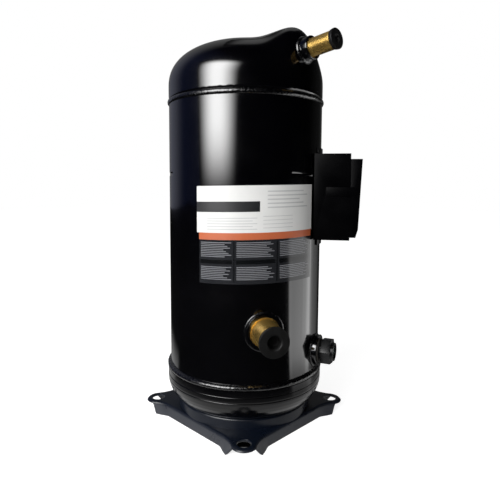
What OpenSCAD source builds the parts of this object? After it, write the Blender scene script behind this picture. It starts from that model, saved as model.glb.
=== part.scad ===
// Hermetic scroll compressor with its working parts inside.
// Frame: origin at the centre of the four mounting holes, on the underside of the feet.
// +Z is up along the shaft, +X points along the discharge stub. Millimetres and degrees.

/* [Base plate] */
// Hole spacing of the square mounting pattern
mount_pitch = 190.5; // [170:0.5:210]
// Mounting hole diameter
mount_hole_d = 19; // [12:0.5:22]
// Radius of the rounded foot around each hole
foot_r = 17.5; // [14:0.5:22]
// How far the plate's sides stand outside the mounting holes
side_out = 6.75; // [4:0.25:10]
// Radius of the hollow curve that leads into each foot
foot_fillet = 55; // [35:1:80]
// Sheet thickness
sheet = 3.5; // [2:0.5:6]
// Depth of the turned-down side flanges below the feet
flange_drop = 12.5; // [6:0.5:20]
// How far past a mounting hole, towards the foot's tip, the flanges run
flange_past = 5.3; // [0:0.1:7]
// How much earlier a flange stops at its lower edge
flange_slope = 12; // [0:0.5:14]
// How far the collar that seats the bottom cap stands in from the cap's side
collar_under = 16.5; // [13:0.5:26]

/* [Bottom cap] */
// How far the cap stands out beyond the shell
cup_over = 4; // [4:0.1:6]
// Sheet thickness of the cap
cup_wall = 3.6; // [2.5:0.1:3.8]
// Height of its open edge
cup_top = 64; // [61:0.5:67]
// Height of its flat floor, outside
cup_floor = 13; // [10:0.5:16]
// Outer corner radius between wall and floor
cup_knuckle = 36; // [32:1:38]
// Radius of the two rolled grooves
groove_r = 0.9; // [0.4:0.1:1.5]
// Height of the upper rolled groove
groove_high = 55; // [52:0.5:60]
// Height of the lower rolled groove
groove_low = 46.7; // [42:0.1:50]
// Height of the lower weld bead
cup_bead_h = 6; // [3:0.5:8]
// How far the lower weld bead stands out beyond the cap
cup_bead_out = 1.3; // [0.5:0.1:2]
// Radius of the sump magnet
magnet_r = 12; // [8:0.5:16]
// Thickness of the sump magnet
magnet_h = 5; // [3:0.5:8]
// Distance of the sump magnet from the shaft line
magnet_at = 48; // [30:1:60]

/* [Shell] */
// Outer radius of the shell
shell_r = 113; // [112:0.1:113.2]
// Wall thickness
shell_wall = 3.6; // [3:0.1:4]
// Height of its lower edge, inside the bottom cap
shell_bottom = 51; // [50:0.5:56]
// Height of the stepped-in part of the shell
shell_step_h = 15; // [14:0.5:17]
// How far the shell's upper edge stands above the fixed scroll's plate
shell_over = 5; // [3:0.5:7]
// How far the shell steps in under the top cap
neck_in = 3.5; // [3.5:0.1:5]
// Height of the stake dents above the underside of the main housing's flange
stake_up = 4; // [3:0.5:9]
// Angle one stake dent covers
stake_sweep = 22; // [10:1:30]
// Radius of the dent's round section
stake_r = 3.6; // [2:0.1:5]
// Depth of the dent
stake_depth = 1.3; // [0.5:0.1:2]
// Angle of the first stake dent
stake_a = -1; // [-30:1:30]

/* [Top cap] */
// How far the skirt stands out beyond the shell
cap_over = 0.4; // [0.4:0.1:1.4]
// Sheet thickness
cap_wall = 3.5; // [2.8:0.1:3.5]
// How far the skirt reaches down over the shell's upper edge
cap_lap = 9; // [6:0.5:12]
// Height of the straight skirt below the dome
skirt_h = 18; // [14:0.5:24]
// Rise of the dome at the centre
dome_rise = 65.5; // [55:0.5:72]
// How square the dome's shoulder is
dome_power = 2.3; // [2:0.1:3]
// Extra rise of the nose above the discharge stub
nose_rise = 13; // [6:0.5:18]
// How much squarer the nose's shoulder is than the dome's
nose_power = 2.5; // [1.5:0.1:4]
// Half width of the nose, as an angle
nose_spread = 19; // [16:1:26]
// Length of the nose, inwards from the skirt
nose_l = 65.4; // [58:0.2:92]
// How far in from the skirt the nose is at full height
nose_in = 8.4; // [5:0.2:28]
// How far the seam's weld bead stands out beyond the top cap
seam_out = 1.9; // [1.2:0.1:3.5]

/* [Suction port] */
// Direction of the suction stub
suction_a = -31.5; // [-35:0.5:-25]
// Height of its axis
suction_z = 143.5; // [140:0.5:146]
// Outer radius of the stub
suction_r = 18.7; // [18:0.1:20]
// Radius of its solder socket
suction_socket_r = 17.55; // [17:0.05:17.8]
// Radius of the bore behind the socket
suction_throat_r = 16; // [14:0.1:16.5]
// Distance from the shell's inside to the stub's inner end
suction_back = 0.1; // [0.1:0.1:1.5]
// Distance from the shell's outside to the socket's stop
suction_stem = 17; // [7:0.5:20]
// Depth of the socket
suction_socket_l = 27; // [20:0.5:31]
// Radius of the stub's shoulder against the shell
suction_collar_r = 20.3; // [20.1:0.1:22]
// Height of the shoulder above the shell
suction_collar_h = 3.5; // [2:0.5:8]
// Radius of the weld boss
suction_boss_r = 25; // [22.5:0.5:27]
// Height of the weld boss above the shell
suction_boss_h = 3; // [2:0.5:7]
// How far the rubber cap stands out beyond the stub
suction_cap_over = 1.2; // [0.9:0.1:3]
// Length of stub the cap covers
suction_cap_lap = 2.5; // [2:0.5:10]
// Thickness of the cap's end, beyond the stub
suction_cap_end = 2.3; // [2:0.1:6]
// Length over which the cap widens from its lip
suction_cap_flare = 0.8; // [0.5:0.1:3]
// Radius of the recess in the cap's end
suction_dish_r = 8.7; // [6:0.1:12]
// Depth of the recess
suction_dish_deep = 1.2; // [0.5:0.1:1.4]
// Angle of shell the inner baffle covers
baffle_sweep = 30; // [26:1:40]
// Gap between the shell and the inner baffle plate
baffle_gap = 9.4; // [8.4:0.1:11.4]
// How far the baffle reaches below the stub's axis
baffle_drop = 31.5; // [25:0.5:35]
// Gap between the baffle's closed top and the stator
baffle_under = 2; // [1:0.5:4]
// Baffle sheet thickness
baffle_t = 2; // [1:0.1:3]

/* [Discharge port] */
// Height of the stub's axis above the start of the dome, where it leaves the cap
discharge_up = 37; // [33:0.5:43]
// Upward tilt of the stub
discharge_tilt = 6; // [0:0.5:8]
// Outer radius of the stub
discharge_r = 11.8; // [11.6:0.1:13]
// Radius of its solder socket
discharge_socket_r = 11.15; // [10.5:0.05:11.5]
// Radius of the bore behind the socket
discharge_throat_r = 10; // [8:0.1:10.4]
// How far the stub reaches in behind the skirt's radius
discharge_back = 15.4; // [12:0.2:22]
// Distance from the skirt's radius to the socket's stop
discharge_stem = 19.1; // [8:0.1:24]
// Depth of the socket
discharge_socket_l = 26.5; // [20:0.5:31]
// Radius of the weld boss
discharge_boss_r = 15.5; // [14.5:0.5:20]
// How far the weld boss reaches in behind the skirt's radius
discharge_boss_back = 12.4; // [9:0.2:15]
// How far the weld boss stands out beyond the skirt's radius
discharge_boss_h = 10.8; // [3.6:0.2:15]
// How far the rubber cap stands out beyond the stub
discharge_cap_over = 1.4; // [0.9:0.1:4]
// Length of stub the cap covers
discharge_cap_lap = 2.9; // [2:0.1:10]
// Thickness of the cap's end, beyond the stub
discharge_cap_end = 1.9; // [1.8:0.1:6]
// Length over which the cap widens from its lip
discharge_cap_flare = 3; // [0.5:0.1:4]
// Radius of the recess in the cap's end
discharge_dish_r = 4.8; // [3:0.1:8]
// Depth of the recess
discharge_dish_deep = 0.7; // [0.3:0.1:1]

/* [Sight glass] */
// Direction of the sight glass
sight_a = 22; // [18:0.5:26]
// Height of its axis
sight_z = 97; // [95:0.5:100]
// Radius of the weld boss
sight_boss_r = 22; // [18:0.5:26]
// Height of the weld boss above the shell
sight_boss_h = 6; // [4:0.5:11]
// Radius of the threaded spigot
sight_spigot_r = 12.7; // [11:0.1:14]
// Thickness of the sealing washer
sight_gasket_t = 1.5; // [1:0.1:3]
// Radius of the sealing washer
sight_gasket_r = 17; // [15.5:0.5:18]
// Length of the neck behind the hexagon
sight_neck_l = 3.5; // [2:0.5:9]
// Width of the hexagon across its corners
sight_hex_d = 39; // [36:0.5:44]
// Length of the hexagon
sight_hex_l = 13.5; // [8:0.5:14]
// Turn of the hexagon about its axis
sight_turn = 20; // [0:1:60]
// Radius of the round end
sight_end_r = 13; // [12.5:0.5:16]
// Length of the sight glass from its boss to its round end's face
sight_l = 22.5; // [20:0.5:30]
// Radius of the glass window
sight_lens_r = 10.5; // [8:0.1:11]
// Thickness of the glass window
sight_lens_t = 4; // [3:0.1:6]
// How far the window sits behind the end's face
sight_lens_set = 2.5; // [1:0.1:5]
// Radius of the view bore behind the window
sight_bore_r = 8; // [5:0.1:9.5]

/* [Terminal box] */
// Direction the box faces
box_a = 35; // [33:0.5:38]
// Half width
box_half = 48; // [44:0.5:52]
// How far the box reaches below the terminals' axis
box_down = 66; // [61:0.5:72]
// How far the box reaches above the terminals' axis
box_up = 53; // [47:0.5:59]
// Depth of the box from the bracket to its open front
box_deep = 38.6; // [34.6:0.5:44.6]
// Wall thickness
box_wall = 4; // [3.5:0.1:5]
// Radius of the conduit hole in the underside
conduit_r = 11.1; // [8:0.1:14]
// Distance from the box's open front back to the conduit hole
conduit_back = 17; // [16:0.5:19]
// How far the cover's sides lie inside the box's
cover_side = 0.5; // [0:0.1:1]
// Height of the cover's underside above the box's
cover_rim_low = 4; // [1:0.5:9]
// Height of the cover's lower slope
cover_slope_h = 11.5; // [7:0.5:17]
// How far the cover's top lies below the box's
cover_rim_high = 7.5; // [4:0.5:14]
// Depth of the cover at its lowest edge
cover_d_low = 8; // [6:0.5:10]
// Depth of the cover above the slope
cover_d_mid = 11.3; // [10:0.1:14]
// Depth of the cover at its top
cover_d_high = 15.4; // [14:0.1:20]
// Cover wall thickness
cover_wall = 2.6; // [2:0.1:3]
// Height of the two side tongues above the terminals' axis
tongue_up = 1; // [-7:0.5:8]
// Height of a tongue
tongue_h = 12.5; // [8:0.5:16]
// Thickness of a tongue
tongue_t = 2; // [1.5:0.1:2.5]
// Length of a tongue, back from the box's open front
tongue_l = 33; // [24:0.5:36]
// Thickness of the bracket welded to the shell
bracket_t = 2.1; // [1.5:0.1:2.1]
// Angle of shell the bracket covers
bracket_sweep = 34; // [32:1:40]
// How far the bracket shows above and below the box
bracket_show = 9; // [4:0.5:14]
// Radius of the two weld studs
stud_r = 3; // [2:0.1:4]
// Length of a stud beyond the bracket
stud_l = 11.6; // [9.6:0.2:14.6]
// Distance of each stud from the box's upper or lower face
stud_inset = 14; // [12:0.5:16]
// Width of a nut across its corners
nut_d = 11.5; // [9:0.5:13]
// Height of a nut
nut_h = 5; // [3:0.1:6]
// Angle between the box's axis and the ground screw
ground_turn = 13; // [11:0.5:14]
// Height of the ground screw above the box's underside
ground_up = 24; // [19:1:31]
// Radius of the ground screw's thread
ground_r = 2.5; // [2:0.1:3]
// Width of the ground screw's hexagon across its corners
ground_head_d = 10; // [8:0.5:12]

/* [Terminals] */
// Height of the feed-through's axis above the stator
feed_up = 42; // [41:0.5:42.5]
// Radius of the steel cup
feed_r = 20; // [18:0.5:20.5]
// Wall thickness of the cup
feed_wall = 3; // [2:0.1:4]
// How far the cup reaches in behind the shell's outside
feed_deep = 10; // [8:0.5:10.5]
// How far the cup's rim stands out beyond the shell
feed_rim = 3; // [2:0.5:5]
// Radius of the circle the pins stand on
pin_circle = 9; // [7:0.5:9.5]
// Radius of a pin
pin_r = 1.6; // [1.2:0.1:2]
// Length of a pin inside the cup's floor
pin_back = 13; // [10:0.5:14]
// Length of a pin beyond the cup's rim
pin_l = 8; // [6:0.5:10]
// Radius of a glass seal
bead_r = 4.2; // [3:0.1:5]
// Radius of the terminal block
block_r = 17.5; // [15:0.5:19]
// How far the terminal block's face stands beyond the cup's rim
block_h = 14; // [12:0.5:18]
// Height of the ribs between the terminals
block_rib = 4; // [2:0.5:8]
// Radius of a terminal screw's thread
screw_r = 2; // [1.5:0.1:2.5]
// Radius of a terminal screw's head
screw_head_r = 4; // [3:0.1:4.5]
// Height of a terminal screw's head
screw_head_h = 3; // [2:0.1:4]
// Radius of the connector on the inner side
plug_r = 13; // [12:0.5:13.5]
// Length of the connector inside the cup's floor
plug_l = 17; // [15:0.5:19]
// Radius of a motor lead
lead_r = 2; // [1.2:0.1:2.4]

/* [Motor] */
// Height of the lower end of the lamination stacks
stack_low = 160; // [160:0.5:164]
// Height of the upper end of the lamination stacks
stack_high = 285; // [280:0.5:288]
// Bore radius of the stator
stator_bore = 52; // [50:0.1:54]
// Number of stator slots
slot_count = 24; // [18:6:30]
// Radial thickness of the stator behind its slots
yoke = 23.1; // [19:0.5:29]
// Width of a slot
slot_w = 8; // [6:0.5:8.5]
// Radius at which a slot reaches full width
slot_near = 57; // [55:0.5:60]
// Width of a slot's opening to the bore
slot_mouth = 3; // [2:0.1:4]
// Number of gas passages around the stator
passage_count = 6; // [3:1:8]
// Radius of a gas passage's round cut
passage_r = 14; // [8:0.5:18]
// Depth of a gas passage
passage_depth = 5; // [2:0.5:7]
// Length of the end turns beyond the stack
turn_len = 26; // [18:0.5:26]
// Inner radius of the end turns
turn_in = 56; // [54.5:0.5:58]
// How far the end turns lie inside the stator's outer edge
turn_back = 15.1; // [14:0.5:19]
// Corner radius of the end turns
turn_round = 10; // [4:0.5:12]
// Outer radius of the rotor
rotor_r = 51.3; // [49:0.1:51.5]
// Height of a rotor end ring
ring_h = 12; // [8:0.5:13]
// Inner radius of a rotor end ring
ring_in = 34; // [30:0.5:38]
// Height of a counterweight
weight_h = 15; // [10:0.5:15]
// Outer radius of a counterweight
weight_r = 48; // [42:0.5:50]
// Angle a counterweight covers
weight_sweep = 170; // [120:5:180]

/* [Crankshaft] */
// Distance between the shaft line and the crank pin
orbit = 5; // [5:0.05:5]
// Radius of the lower journal
low_journal_r = 13.5; // [12:0.1:15]
// Height of the shaft's lower end
shaft_low = 84.3; // [84.3:0.1:85]
// Height at which the shaft steps up to its collar
collar_low = 126; // [122:0.5:128]
// Radius of the collar under the rotor
shaft_collar_r = 25; // [23:0.5:28]
// Radius of the rotor seat
seat_r = 21; // [20.5:0.1:23]
// Radius of the main journal
main_journal_r = 20; // [18:0.1:20.4]
// How far the main journal ends below the hollow's floor
journal_short = 1; // [0.5:0.1:2]
// Radius of the crank pin
pin_crank_r = 14; // [12:0.1:15]
// Height of the crank pin's top above the hollow's floor
pin_crank_l = 28; // [22:0.5:30]
// Outer radius of the drive bushing
drive_r = 20; // [18:0.1:21]
// Height of the drive bushing above the hollow's floor
drive_up = 3; // [1:0.5:6]
// Length of the drive bushing
drive_l = 26; // [23:0.5:28]
// Radius of the oil drilling
oil_r = 2.5; // [1.5:0.1:3]
// Distance of the oil drilling from the shaft line
oil_at = 7; // [6:0.1:7.5]
// Outer radius of the oil pickup tube
oil_tube_r = 5; // [4.8:0.1:5.5]
// Wall thickness of the oil pickup tube
oil_tube_wall = 1.4; // [0.8:0.1:2]
// Height of the pickup tube's lower end
oil_tube_low = 38; // [30:1:60]
// Height of the pickup tube's upper end
oil_tube_high = 96; // [92:0.5:100]

/* [Bearings] */
// Radial running clearance of the three plain bearings
running = 0.05; // [0.02:0.01:0.08]
// Wall thickness of a bearing bush
bush_wall = 3; // [2:0.1:3.5]
// Lower bearing hub: lower face
low_hub_low = 84; // [84:0.1:84]
// Lower bearing hub: upper face
low_hub_high = 116; // [112:0.5:120]
// Lower bearing hub: outer radius
low_hub_r = 27; // [24:0.5:30]
// Height of the underside of the lower bracket's arms
arm_low = 94; // [88:0.5:98]
// Thickness of the arms
arm_t = 10; // [6:0.5:12]
// Width of an arm
arm_w = 36; // [28:1:44]
// Height of the weld pads at the arm ends
pad_h = 26; // [16:1:28]
// Radial thickness of the weld pads
pad_t = 5; // [3:0.5:6]
// Direction of the first arm
arm_a = 90; // [80:1:100]
// Thickness of the thrust plate under the shaft
thrust_t = 4; // [3:0.1:6]
// Height of the main bearing hub's lower face above the stator
main_hub_up = 37; // [35:0.5:40]
// Main bearing hub: outer radius
main_hub_r = 33; // [28:0.5:36]
// Height of the underside of the main housing's flange above the stator
flange_up = 63; // [63:0.5:65]
// Thickness of the main housing's flange
flange_t = 18; // [14:0.5:20]
// Height of the hollow's floor, in which the scroll's hub orbits, above the flange's underside
floor_t = 20; // [20:0.1:20.5]
// Radius of that hollow
hollow_r = 38; // [36.5:0.1:40]
// Gap between the thrust face's edge and the coupling ring, over the orbit
thrust_gap = 5.5; // [5.5:0.1:9]
// Height of the coupling ring's channel above the hollow's floor
channel_up = 20; // [18:0.5:21]
// How far the channel's outer wall stands beyond the orbiting scroll's plate
channel_over = 8; // [7.5:0.1:9]
// Wall thickness outside the channel
channel_wall = 4; // [3:0.5:5]
// Height of the wall outside the channel
channel_h = 8; // [6:0.5:9]
// Number of gas windows in the flange
window_count = 4; // [4:1:4]
// Width of a gas window
window_w = 56; // [40:1:60]
// Radial size of a gas window
window_h = 14; // [8:0.5:15]
// Distance of the posts' axes from the shell's inside
post_in = 13.9; // [13.4:0.1:13.9]
// Radius of a post
post_r = 10; // [9:0.1:10.2]
// Height of the posts' tops above the orbiting scroll's plate
post_up = 31; // [29:0.5:33]
// Length of thread in a post
thread_l = 24; // [16:0.5:30]

/* [Scroll set] */
// Radius of the involutes' base circle
base_circle = 3; // [3:0.05:3]
// Smallest gap between the flanks
flank_gap = 0.25; // [0.2:0.01:0.4]
// Involute angle at which the wraps start
wrap_from = 250; // [230:5:330]
// Gap left between the outermost wrap's line and the fixed scroll's wall, over the orbit
wrap_margin = 3.6; // [3.6:0.1:8]
// Step of the involute angle
wrap_step = 6; // [3:1:9]
// Gap between a wrap's tip and the floor it faces
tip_gap = 0.3; // [0.2:0.05:0.5]
// Height of the orbiting scroll's plate above the hollow's floor
plate_up = 33; // [33:0.1:33]
// Thickness of the orbiting scroll's plate
plate_t = 10; // [8:0.5:12]
// How far the orbiting scroll's plate reaches beyond the fixed scroll's inner wall
plate_over = 4.5; // [3.5:0.1:5.5]
// Height of the orbiting scroll's hub above the hollow's floor
hub_up = 4; // [3:0.5:6]
// Outer radius of the orbiting scroll's hub
hub_r = 30; // [28.5:0.1:31]
// Height of the wraps
wrap_h = 38; // [30:0.5:38]
// Thickness of the fixed scroll's outer wall
wall_t = 16.5; // [14:0.1:16.5]
// Distance of the ears' holes from the fixed scroll's side
ear_reach = 11.5; // [11:0.5:17.5]
// Thickness of the fixed scroll's plate
fixed_t = 14; // [10:0.5:14]
// Radius of the discharge port in the fixed scroll
port_r = 7; // [5:0.1:8]
// Width of the two suction inlets in the fixed scroll's wall
inlet_w = 44; // [30:1:50]
// Direction of the first suction inlet
inlet_a = 0; // [-20:1:20]
// Radius of an ear of the fixed scroll
ear_r = 12; // [11:0.1:13]
// Radius of the hole in an ear
ear_hole_r = 8.2; // [8.2:0.05:8.6]
// Outer radius of a guide sleeve
sleeve_r = 7.9; // [7.5:0.05:7.9]
// How far a guide sleeve stands above the ears
sleeve_over = 1.2; // [1:0.1:2]
// Radius of a guide bolt
bolt_r = 5; // [4:0.1:5.1]
// Width of a guide bolt's head across its corners
bolt_head_d = 19; // [17.5:0.5:20]
// Height of a guide bolt's head
bolt_head_h = 7.5; // [5:0.5:8]
// Radius of the seal chamber's inner wall
chamber_in = 22; // [18:0.5:24]
// Radius of the passage up through the inner wall
chamber_bore = 14; // [10:0.5:16]
// Thickness of the seal chamber's outer wall
chamber_wall = 8; // [6:0.5:10]
// How far the seal chamber's outer wall is set in from the fixed scroll's side
chamber_set = 16; // [16:0.5:20]
// Height of the chamber's walls above its floor
chamber_h = 14; // [8:0.5:14.5]
// Radial gap between the floating seal and the chamber
seal_gap = 0.4; // [0.3:0.05:0.6]
// Gap between the floating seal and the partition
seal_head = 2; // [2:0.1:3]
// Radial width of the seal's raised lip
seal_lip = 6; // [3:0.5:10]
// Thickness of the floating seal's plate
seal_plate = 9; // [6:0.5:10]

/* [Coupling ring] */
// Radial width of the ring
oldham_w = 8.5; // [6:0.1:8.5]
// Gap between the ring and the channel's outer wall, over the orbit
oldham_gap = 6; // [6:0.1:8]
// Thickness of the ring
oldham_t = 6.7; // [5:0.1:7]
// Width of a key
key_w = 10; // [7:0.5:12]
// Height of a key
key_h = 7; // [5:0.5:8]
// Side clearance of the keys in the scroll's slots
key_gap = 0.1; // [0.05:0.01:0.2]
// Direction of the upper keys
key_a = 45; // [30:1:60]

/* [Partition and discharge valve] */
// Thickness of the partition plate
part_t = 4; // [3:0.1:5]
// Height of its raised middle
part_rise = 14; // [14:0.1:16]
// Width of its flat rim
part_rim_w = 16.5; // [13.5:0.5:19.5]
// Radial width of its sloping ring
part_cone = 21; // [17:0.5:23]
// Radius of its centre hole
part_hole = 12; // [10:0.5:14]
// Radius of the valve seat's hole
valve_hole = 8; // [6:0.1:10]
// Outer radius of the valve seat and cage
valve_r = 20; // [18:0.5:24]
// Height of the valve seat
valve_seat_h = 3; // [2:0.1:5]
// Radius of the valve disc
disc_r = 14; // [11:0.1:14.5]
// Thickness of the valve disc
disc_t = 2.5; // [1.5:0.1:4]
// Inner radius of the valve cage
cage_in = 16; // [15:0.1:17]
// Height of the valve cage
cage_h = 12; // [11:0.1:16]
// Thickness of the cage's top
cage_top = 3; // [2:0.1:4]
// Width of the three windows in the cage
cage_window = 14; // [8:0.5:18]
// Radius of the hole in the cage's top
cage_hole = 6; // [4:0.1:10]

/* [Clearances] */
// Gap between surfaces that move past each other
free = 0.3; // [0.25:0.01:0.4]
// Gap between parts that are welded, pressed or screwed together
fixed = 0.05; // [0.02:0.01:0.1]

/* [Hidden] */
$fn = 72;
// Facets of the curved cut behind a thin boss
fine = 4 * $fn;
// Overlap of a cutting body
cut = 1;
// Corners of a hexagon
hexagon = 6;
// Segments of a drawn arc
arc_n = 10;
// Rings and sectors of the top cap's dome
dome_rings = 12;
dome_sectors = 48;
// How closely the dome's rings crowd towards its rim
dome_crowd = 2.6;
half_turn = 180;
quarter = 90;
third = 120;
// Base plate, from the mounting pattern
side_half = mount_pitch / 2 + side_out;
flange_end = mount_pitch / sqrt(2) + flange_past;
// Shell and caps, from the shell's radius
shell_in = shell_r - shell_wall;
shell_neck_r = shell_r - neck_in;
cup_r = shell_r + cup_over;
collar_r = cup_r - collar_under;
cap_r = shell_r + cap_over;
seam_r = cap_r + seam_out;
nose_from = cap_r - nose_l;
nose_full = cap_r - nose_in;
// Suction port
suction_in = shell_in + suction_back;
suction_stop = shell_r + suction_stem;
suction_end = suction_stop + suction_socket_l;
suction_boss_end = shell_r + suction_boss_h;
baffle_r = shell_in - baffle_gap;
baffle_low = suction_z - baffle_drop;
baffle_high = stack_low - baffle_under;
// Sight glass
sight_boss_end = shell_r + sight_boss_h;
sight_end = sight_boss_end + sight_l;
// Stator and end turns
stator_r = shell_in - free;
slot_deep = stator_r - yoke;
turn_out = stator_r - turn_back;
// Main housing, from the stator up
main_hub_low = stack_high + main_hub_up;
flange_low = stack_high + flange_up;
flange_high = flange_low + flange_t;
stake_z = flange_low + stake_up;
hollow_floor = flange_low + floor_t;
main_journal_top = hollow_floor - journal_short;
pin_crank_top = hollow_floor + pin_crank_l;
drive_low = hollow_floor + drive_up;
drive_high = drive_low + drive_l;
channel_floor = hollow_floor + channel_up;
channel_top = channel_floor + channel_h;
// Scroll set, from the posts inwards
post_circle = shell_in - post_in;
fixed_r = post_circle - ear_reach;
wall_in = fixed_r - wall_t;
plate_r = wall_in + plate_over;
wrap_to = (wall_in - orbit - wrap_margin) / base_circle * half_turn / PI;
channel_r = plate_r + channel_over;
oldham_out = channel_r - oldham_gap;
oldham_in = oldham_out - oldham_w;
thrust_r = oldham_in - thrust_gap;
chamber_wall_r = fixed_r - chamber_set;
chamber_out = chamber_wall_r - chamber_wall;
// Scroll set and upper end, from the housing up
plate_low = hollow_floor + plate_up;
plate_top = plate_low + plate_t;
wrap_root = plate_top + wrap_h;
fixed_top = wrap_root + fixed_t;
hub_low = hollow_floor + hub_up;
post_top = plate_low + post_up;
ear_low = post_top + free;
shell_top = fixed_top + shell_over;
shell_step = shell_top - shell_step_h;
cap_bottom = shell_top - cap_lap;
dome_z = cap_bottom + skirt_h;
part_low = shell_top;
part_mid = part_low + part_rise;
part_rim = shell_neck_r - part_rim_w;
part_flat = part_rim - part_cone;
seal_top = part_mid - seal_head;
// Discharge port
discharge_z = dome_z + discharge_up;
discharge_in = cap_r - discharge_back;
discharge_stop = cap_r + discharge_stem;
discharge_end = discharge_stop + discharge_socket_l;
discharge_boss_in = cap_r - discharge_boss_back;
discharge_boss_end = cap_r + discharge_boss_h;
// Feed-through and terminal box
feed_z = stack_high + feed_up;
feed_in = shell_r - feed_deep;
feed_out = shell_r + feed_rim;
pin_in = feed_in - pin_back;
pin_out = feed_out + pin_l;
block_out = feed_out + block_h;
plug_in = feed_in - plug_l;
bracket_r = shell_r + bracket_t;
box_back_r = bracket_r + free;
box_front = box_back_r + box_deep;
box_low = feed_z - box_down;
box_high = feed_z + box_up;
conduit_at = box_front - conduit_back;
cover_low = box_low + cover_rim_low;
cover_slope = cover_low + cover_slope_h;
cover_high = box_high - cover_rim_high;
cover_u_low = box_front + cover_d_low;
cover_u_mid = box_front + cover_d_mid;
cover_u_high = box_front + cover_d_high;
tongue_z = feed_z + tongue_up;
tongue_tip = box_front - tongue_l;
stud_end = box_back_r + stud_l;
ground_z = box_low + ground_up;
// Wall of the collar, and the slope of its seat against the cap's corner
collar_in = collar_r - sheet;
// Where the bottom cap's corner arc is centred
cup_corner = cup_r - cup_knuckle;
cup_spring = cup_floor + cup_knuckle;
cup_in = cup_r - cup_wall;
// Inside of the shell's neck
shell_neck_in = shell_neck_r - shell_wall;
// Scroll geometry: the wall thickness follows from the orbit and the flank gap
wrap_t = PI * base_circle - orbit - flank_gap;
wrap_half = wrap_t / 2 / base_circle;
ear_top = wrap_root;
sleeve_top = ear_top + sleeve_over;
// Partition heights
part_top = part_mid + part_t;
seat_top = part_top + valve_seat_h;
thrust_face = plate_low - free;
oldham_low = channel_floor + free;
oldham_high = oldham_low + oldham_t;
// Rotor stack heights, from the lower counterweight to the upper one
ring_low = stack_low - ring_h;
weight_low = ring_low - weight_h;
ring_high = stack_high + ring_h;
stack_h = stack_high - stack_low;
// Back wall of the terminal box, inside face
box_back_in = box_back_r + box_wall;
box_mid = (box_low + box_high) / 2;
cover_half = box_half - cover_side;
// Terminal positions around the feed-through's axis
pin_turns = [90, 210, 330];
// How many steps towards the shaft each lead runs before it turns down
lead_steps = [0, 2, 1];

// Points along an arc about [x, y], both ends included
function arc(x, y, r, from, to) =
    [for (i = [0:arc_n]) let (a = from + (to - from) * i / arc_n) [x + r * cos(a), y + r * sin(a)]];
function turned(p, a) = [p[0] * cos(a) - p[1] * sin(a), p[0] * sin(a) + p[1] * cos(a)];

// A solid rod along Z between two heights
module rod(r, from, to) {
    translate([0, 0, from])
        cylinder(r = r, h = to - from);
}

// A tube along Z between two heights
module tube(outer, inner, from, to) {
    difference() {
        rod(outer, from, to);
        rod(inner, from - cut, to + cut);
    }
}

// A hexagonal prism along Z between two heights
module hex(d, from, to) {
    translate([0, 0, from])
        cylinder(d = d, h = to - from, $fn = hexagon);
}

// Turns a child drawn along Z to point away from the shaft line, at a direction and height
module radial(a, z) {
    rotate([0, 0, a])
        translate([0, 0, z])
            rotate([0, quarter, 0])
                children();
}

// Turns a child drawn along Z onto the discharge stub's tilted axis
module along_discharge() {
    translate([cap_r, 0, discharge_z])
        rotate([0, quarter - discharge_tilt, 0])
            translate([0, 0, -cap_r])
                children();
}

// A block in the terminal box's own directions: out, across and up
module box_block(u0, u1, half, z0, z1) {
    rotate([0, 0, box_a])
        translate([u0, -half, z0])
            cube([u1 - u0, 2 * half, z1 - z0]);
}

// Copies a child at the four fixing posts
module at_posts() {
    for (i = [0:3])
        rotate([0, 0, quarter / 2 + quarter * i])
            translate([post_circle, 0, 0])
                children();
}

// Copies a child at the three terminal pins, along the feed-through's axis
module at_pins() {
    radial(box_a, feed_z)
        for (t = pin_turns)
            rotate([0, 0, t])
                translate([pin_circle, 0, 0])
                    children();
}

// Outline of the base plate, drawn in by a distance all round
foot = mount_pitch / 2;
flare_y = side_half + foot_fillet;
flare_x = foot - sqrt(pow(foot_r + foot_fillet, 2) - pow(flare_y - foot, 2));
flare_a = atan2(foot - flare_x, flare_y - foot);
function base_corner(inset) = concat(
    arc(flare_y, flare_x, foot_fillet + inset, half_turn, half_turn - flare_a),
    arc(foot, foot, foot_r - inset, -flare_a, quarter + flare_a),
    arc(flare_x, flare_y, foot_fillet + inset, flare_a - quarter, -quarter));
function base_outline(inset) =
    [for (i = [0:3]) each [for (p = base_corner(inset)) turned(p, quarter * i)]];

module base_plate() {
    seat = function(r) cup_spring - sqrt(pow(cup_knuckle, 2) - pow(r - cup_corner, 2)) - free;
    color("#1b1c1f")
        difference() {
            union() {
                linear_extrude(sheet)
                    polygon(base_outline(0));
                difference() {
                    translate([0, 0, -flange_drop])
                        linear_extrude(flange_drop + sheet / 2)
                            difference() {
                                polygon(base_outline(0));
                                polygon(base_outline(sheet));
                            }
                    for (i = [0:3])
                        rotate([0, 0, quarter / 2 + quarter * i])
                            translate([flange_end, -foot, 0])
                                rotate([0, atan2(flange_slope, flange_drop), 0])
                                    translate([0, 0, -mount_pitch])
                                        cube([foot, mount_pitch, 2 * mount_pitch]);
                }
                rotate_extrude()
                    polygon([
                        [collar_in, 0],
                        [collar_r, 0],
                        [collar_r, seat(collar_r)],
                        [collar_in, seat(collar_in)]]);
            }
            rod(collar_in, -cut, sheet + cut);
            for (i = [0:3])
                rotate([0, 0, quarter * i])
                    translate([foot, foot, 0])
                        rod(mount_hole_d / 2, -cut, sheet + cut);
        }
}

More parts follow.
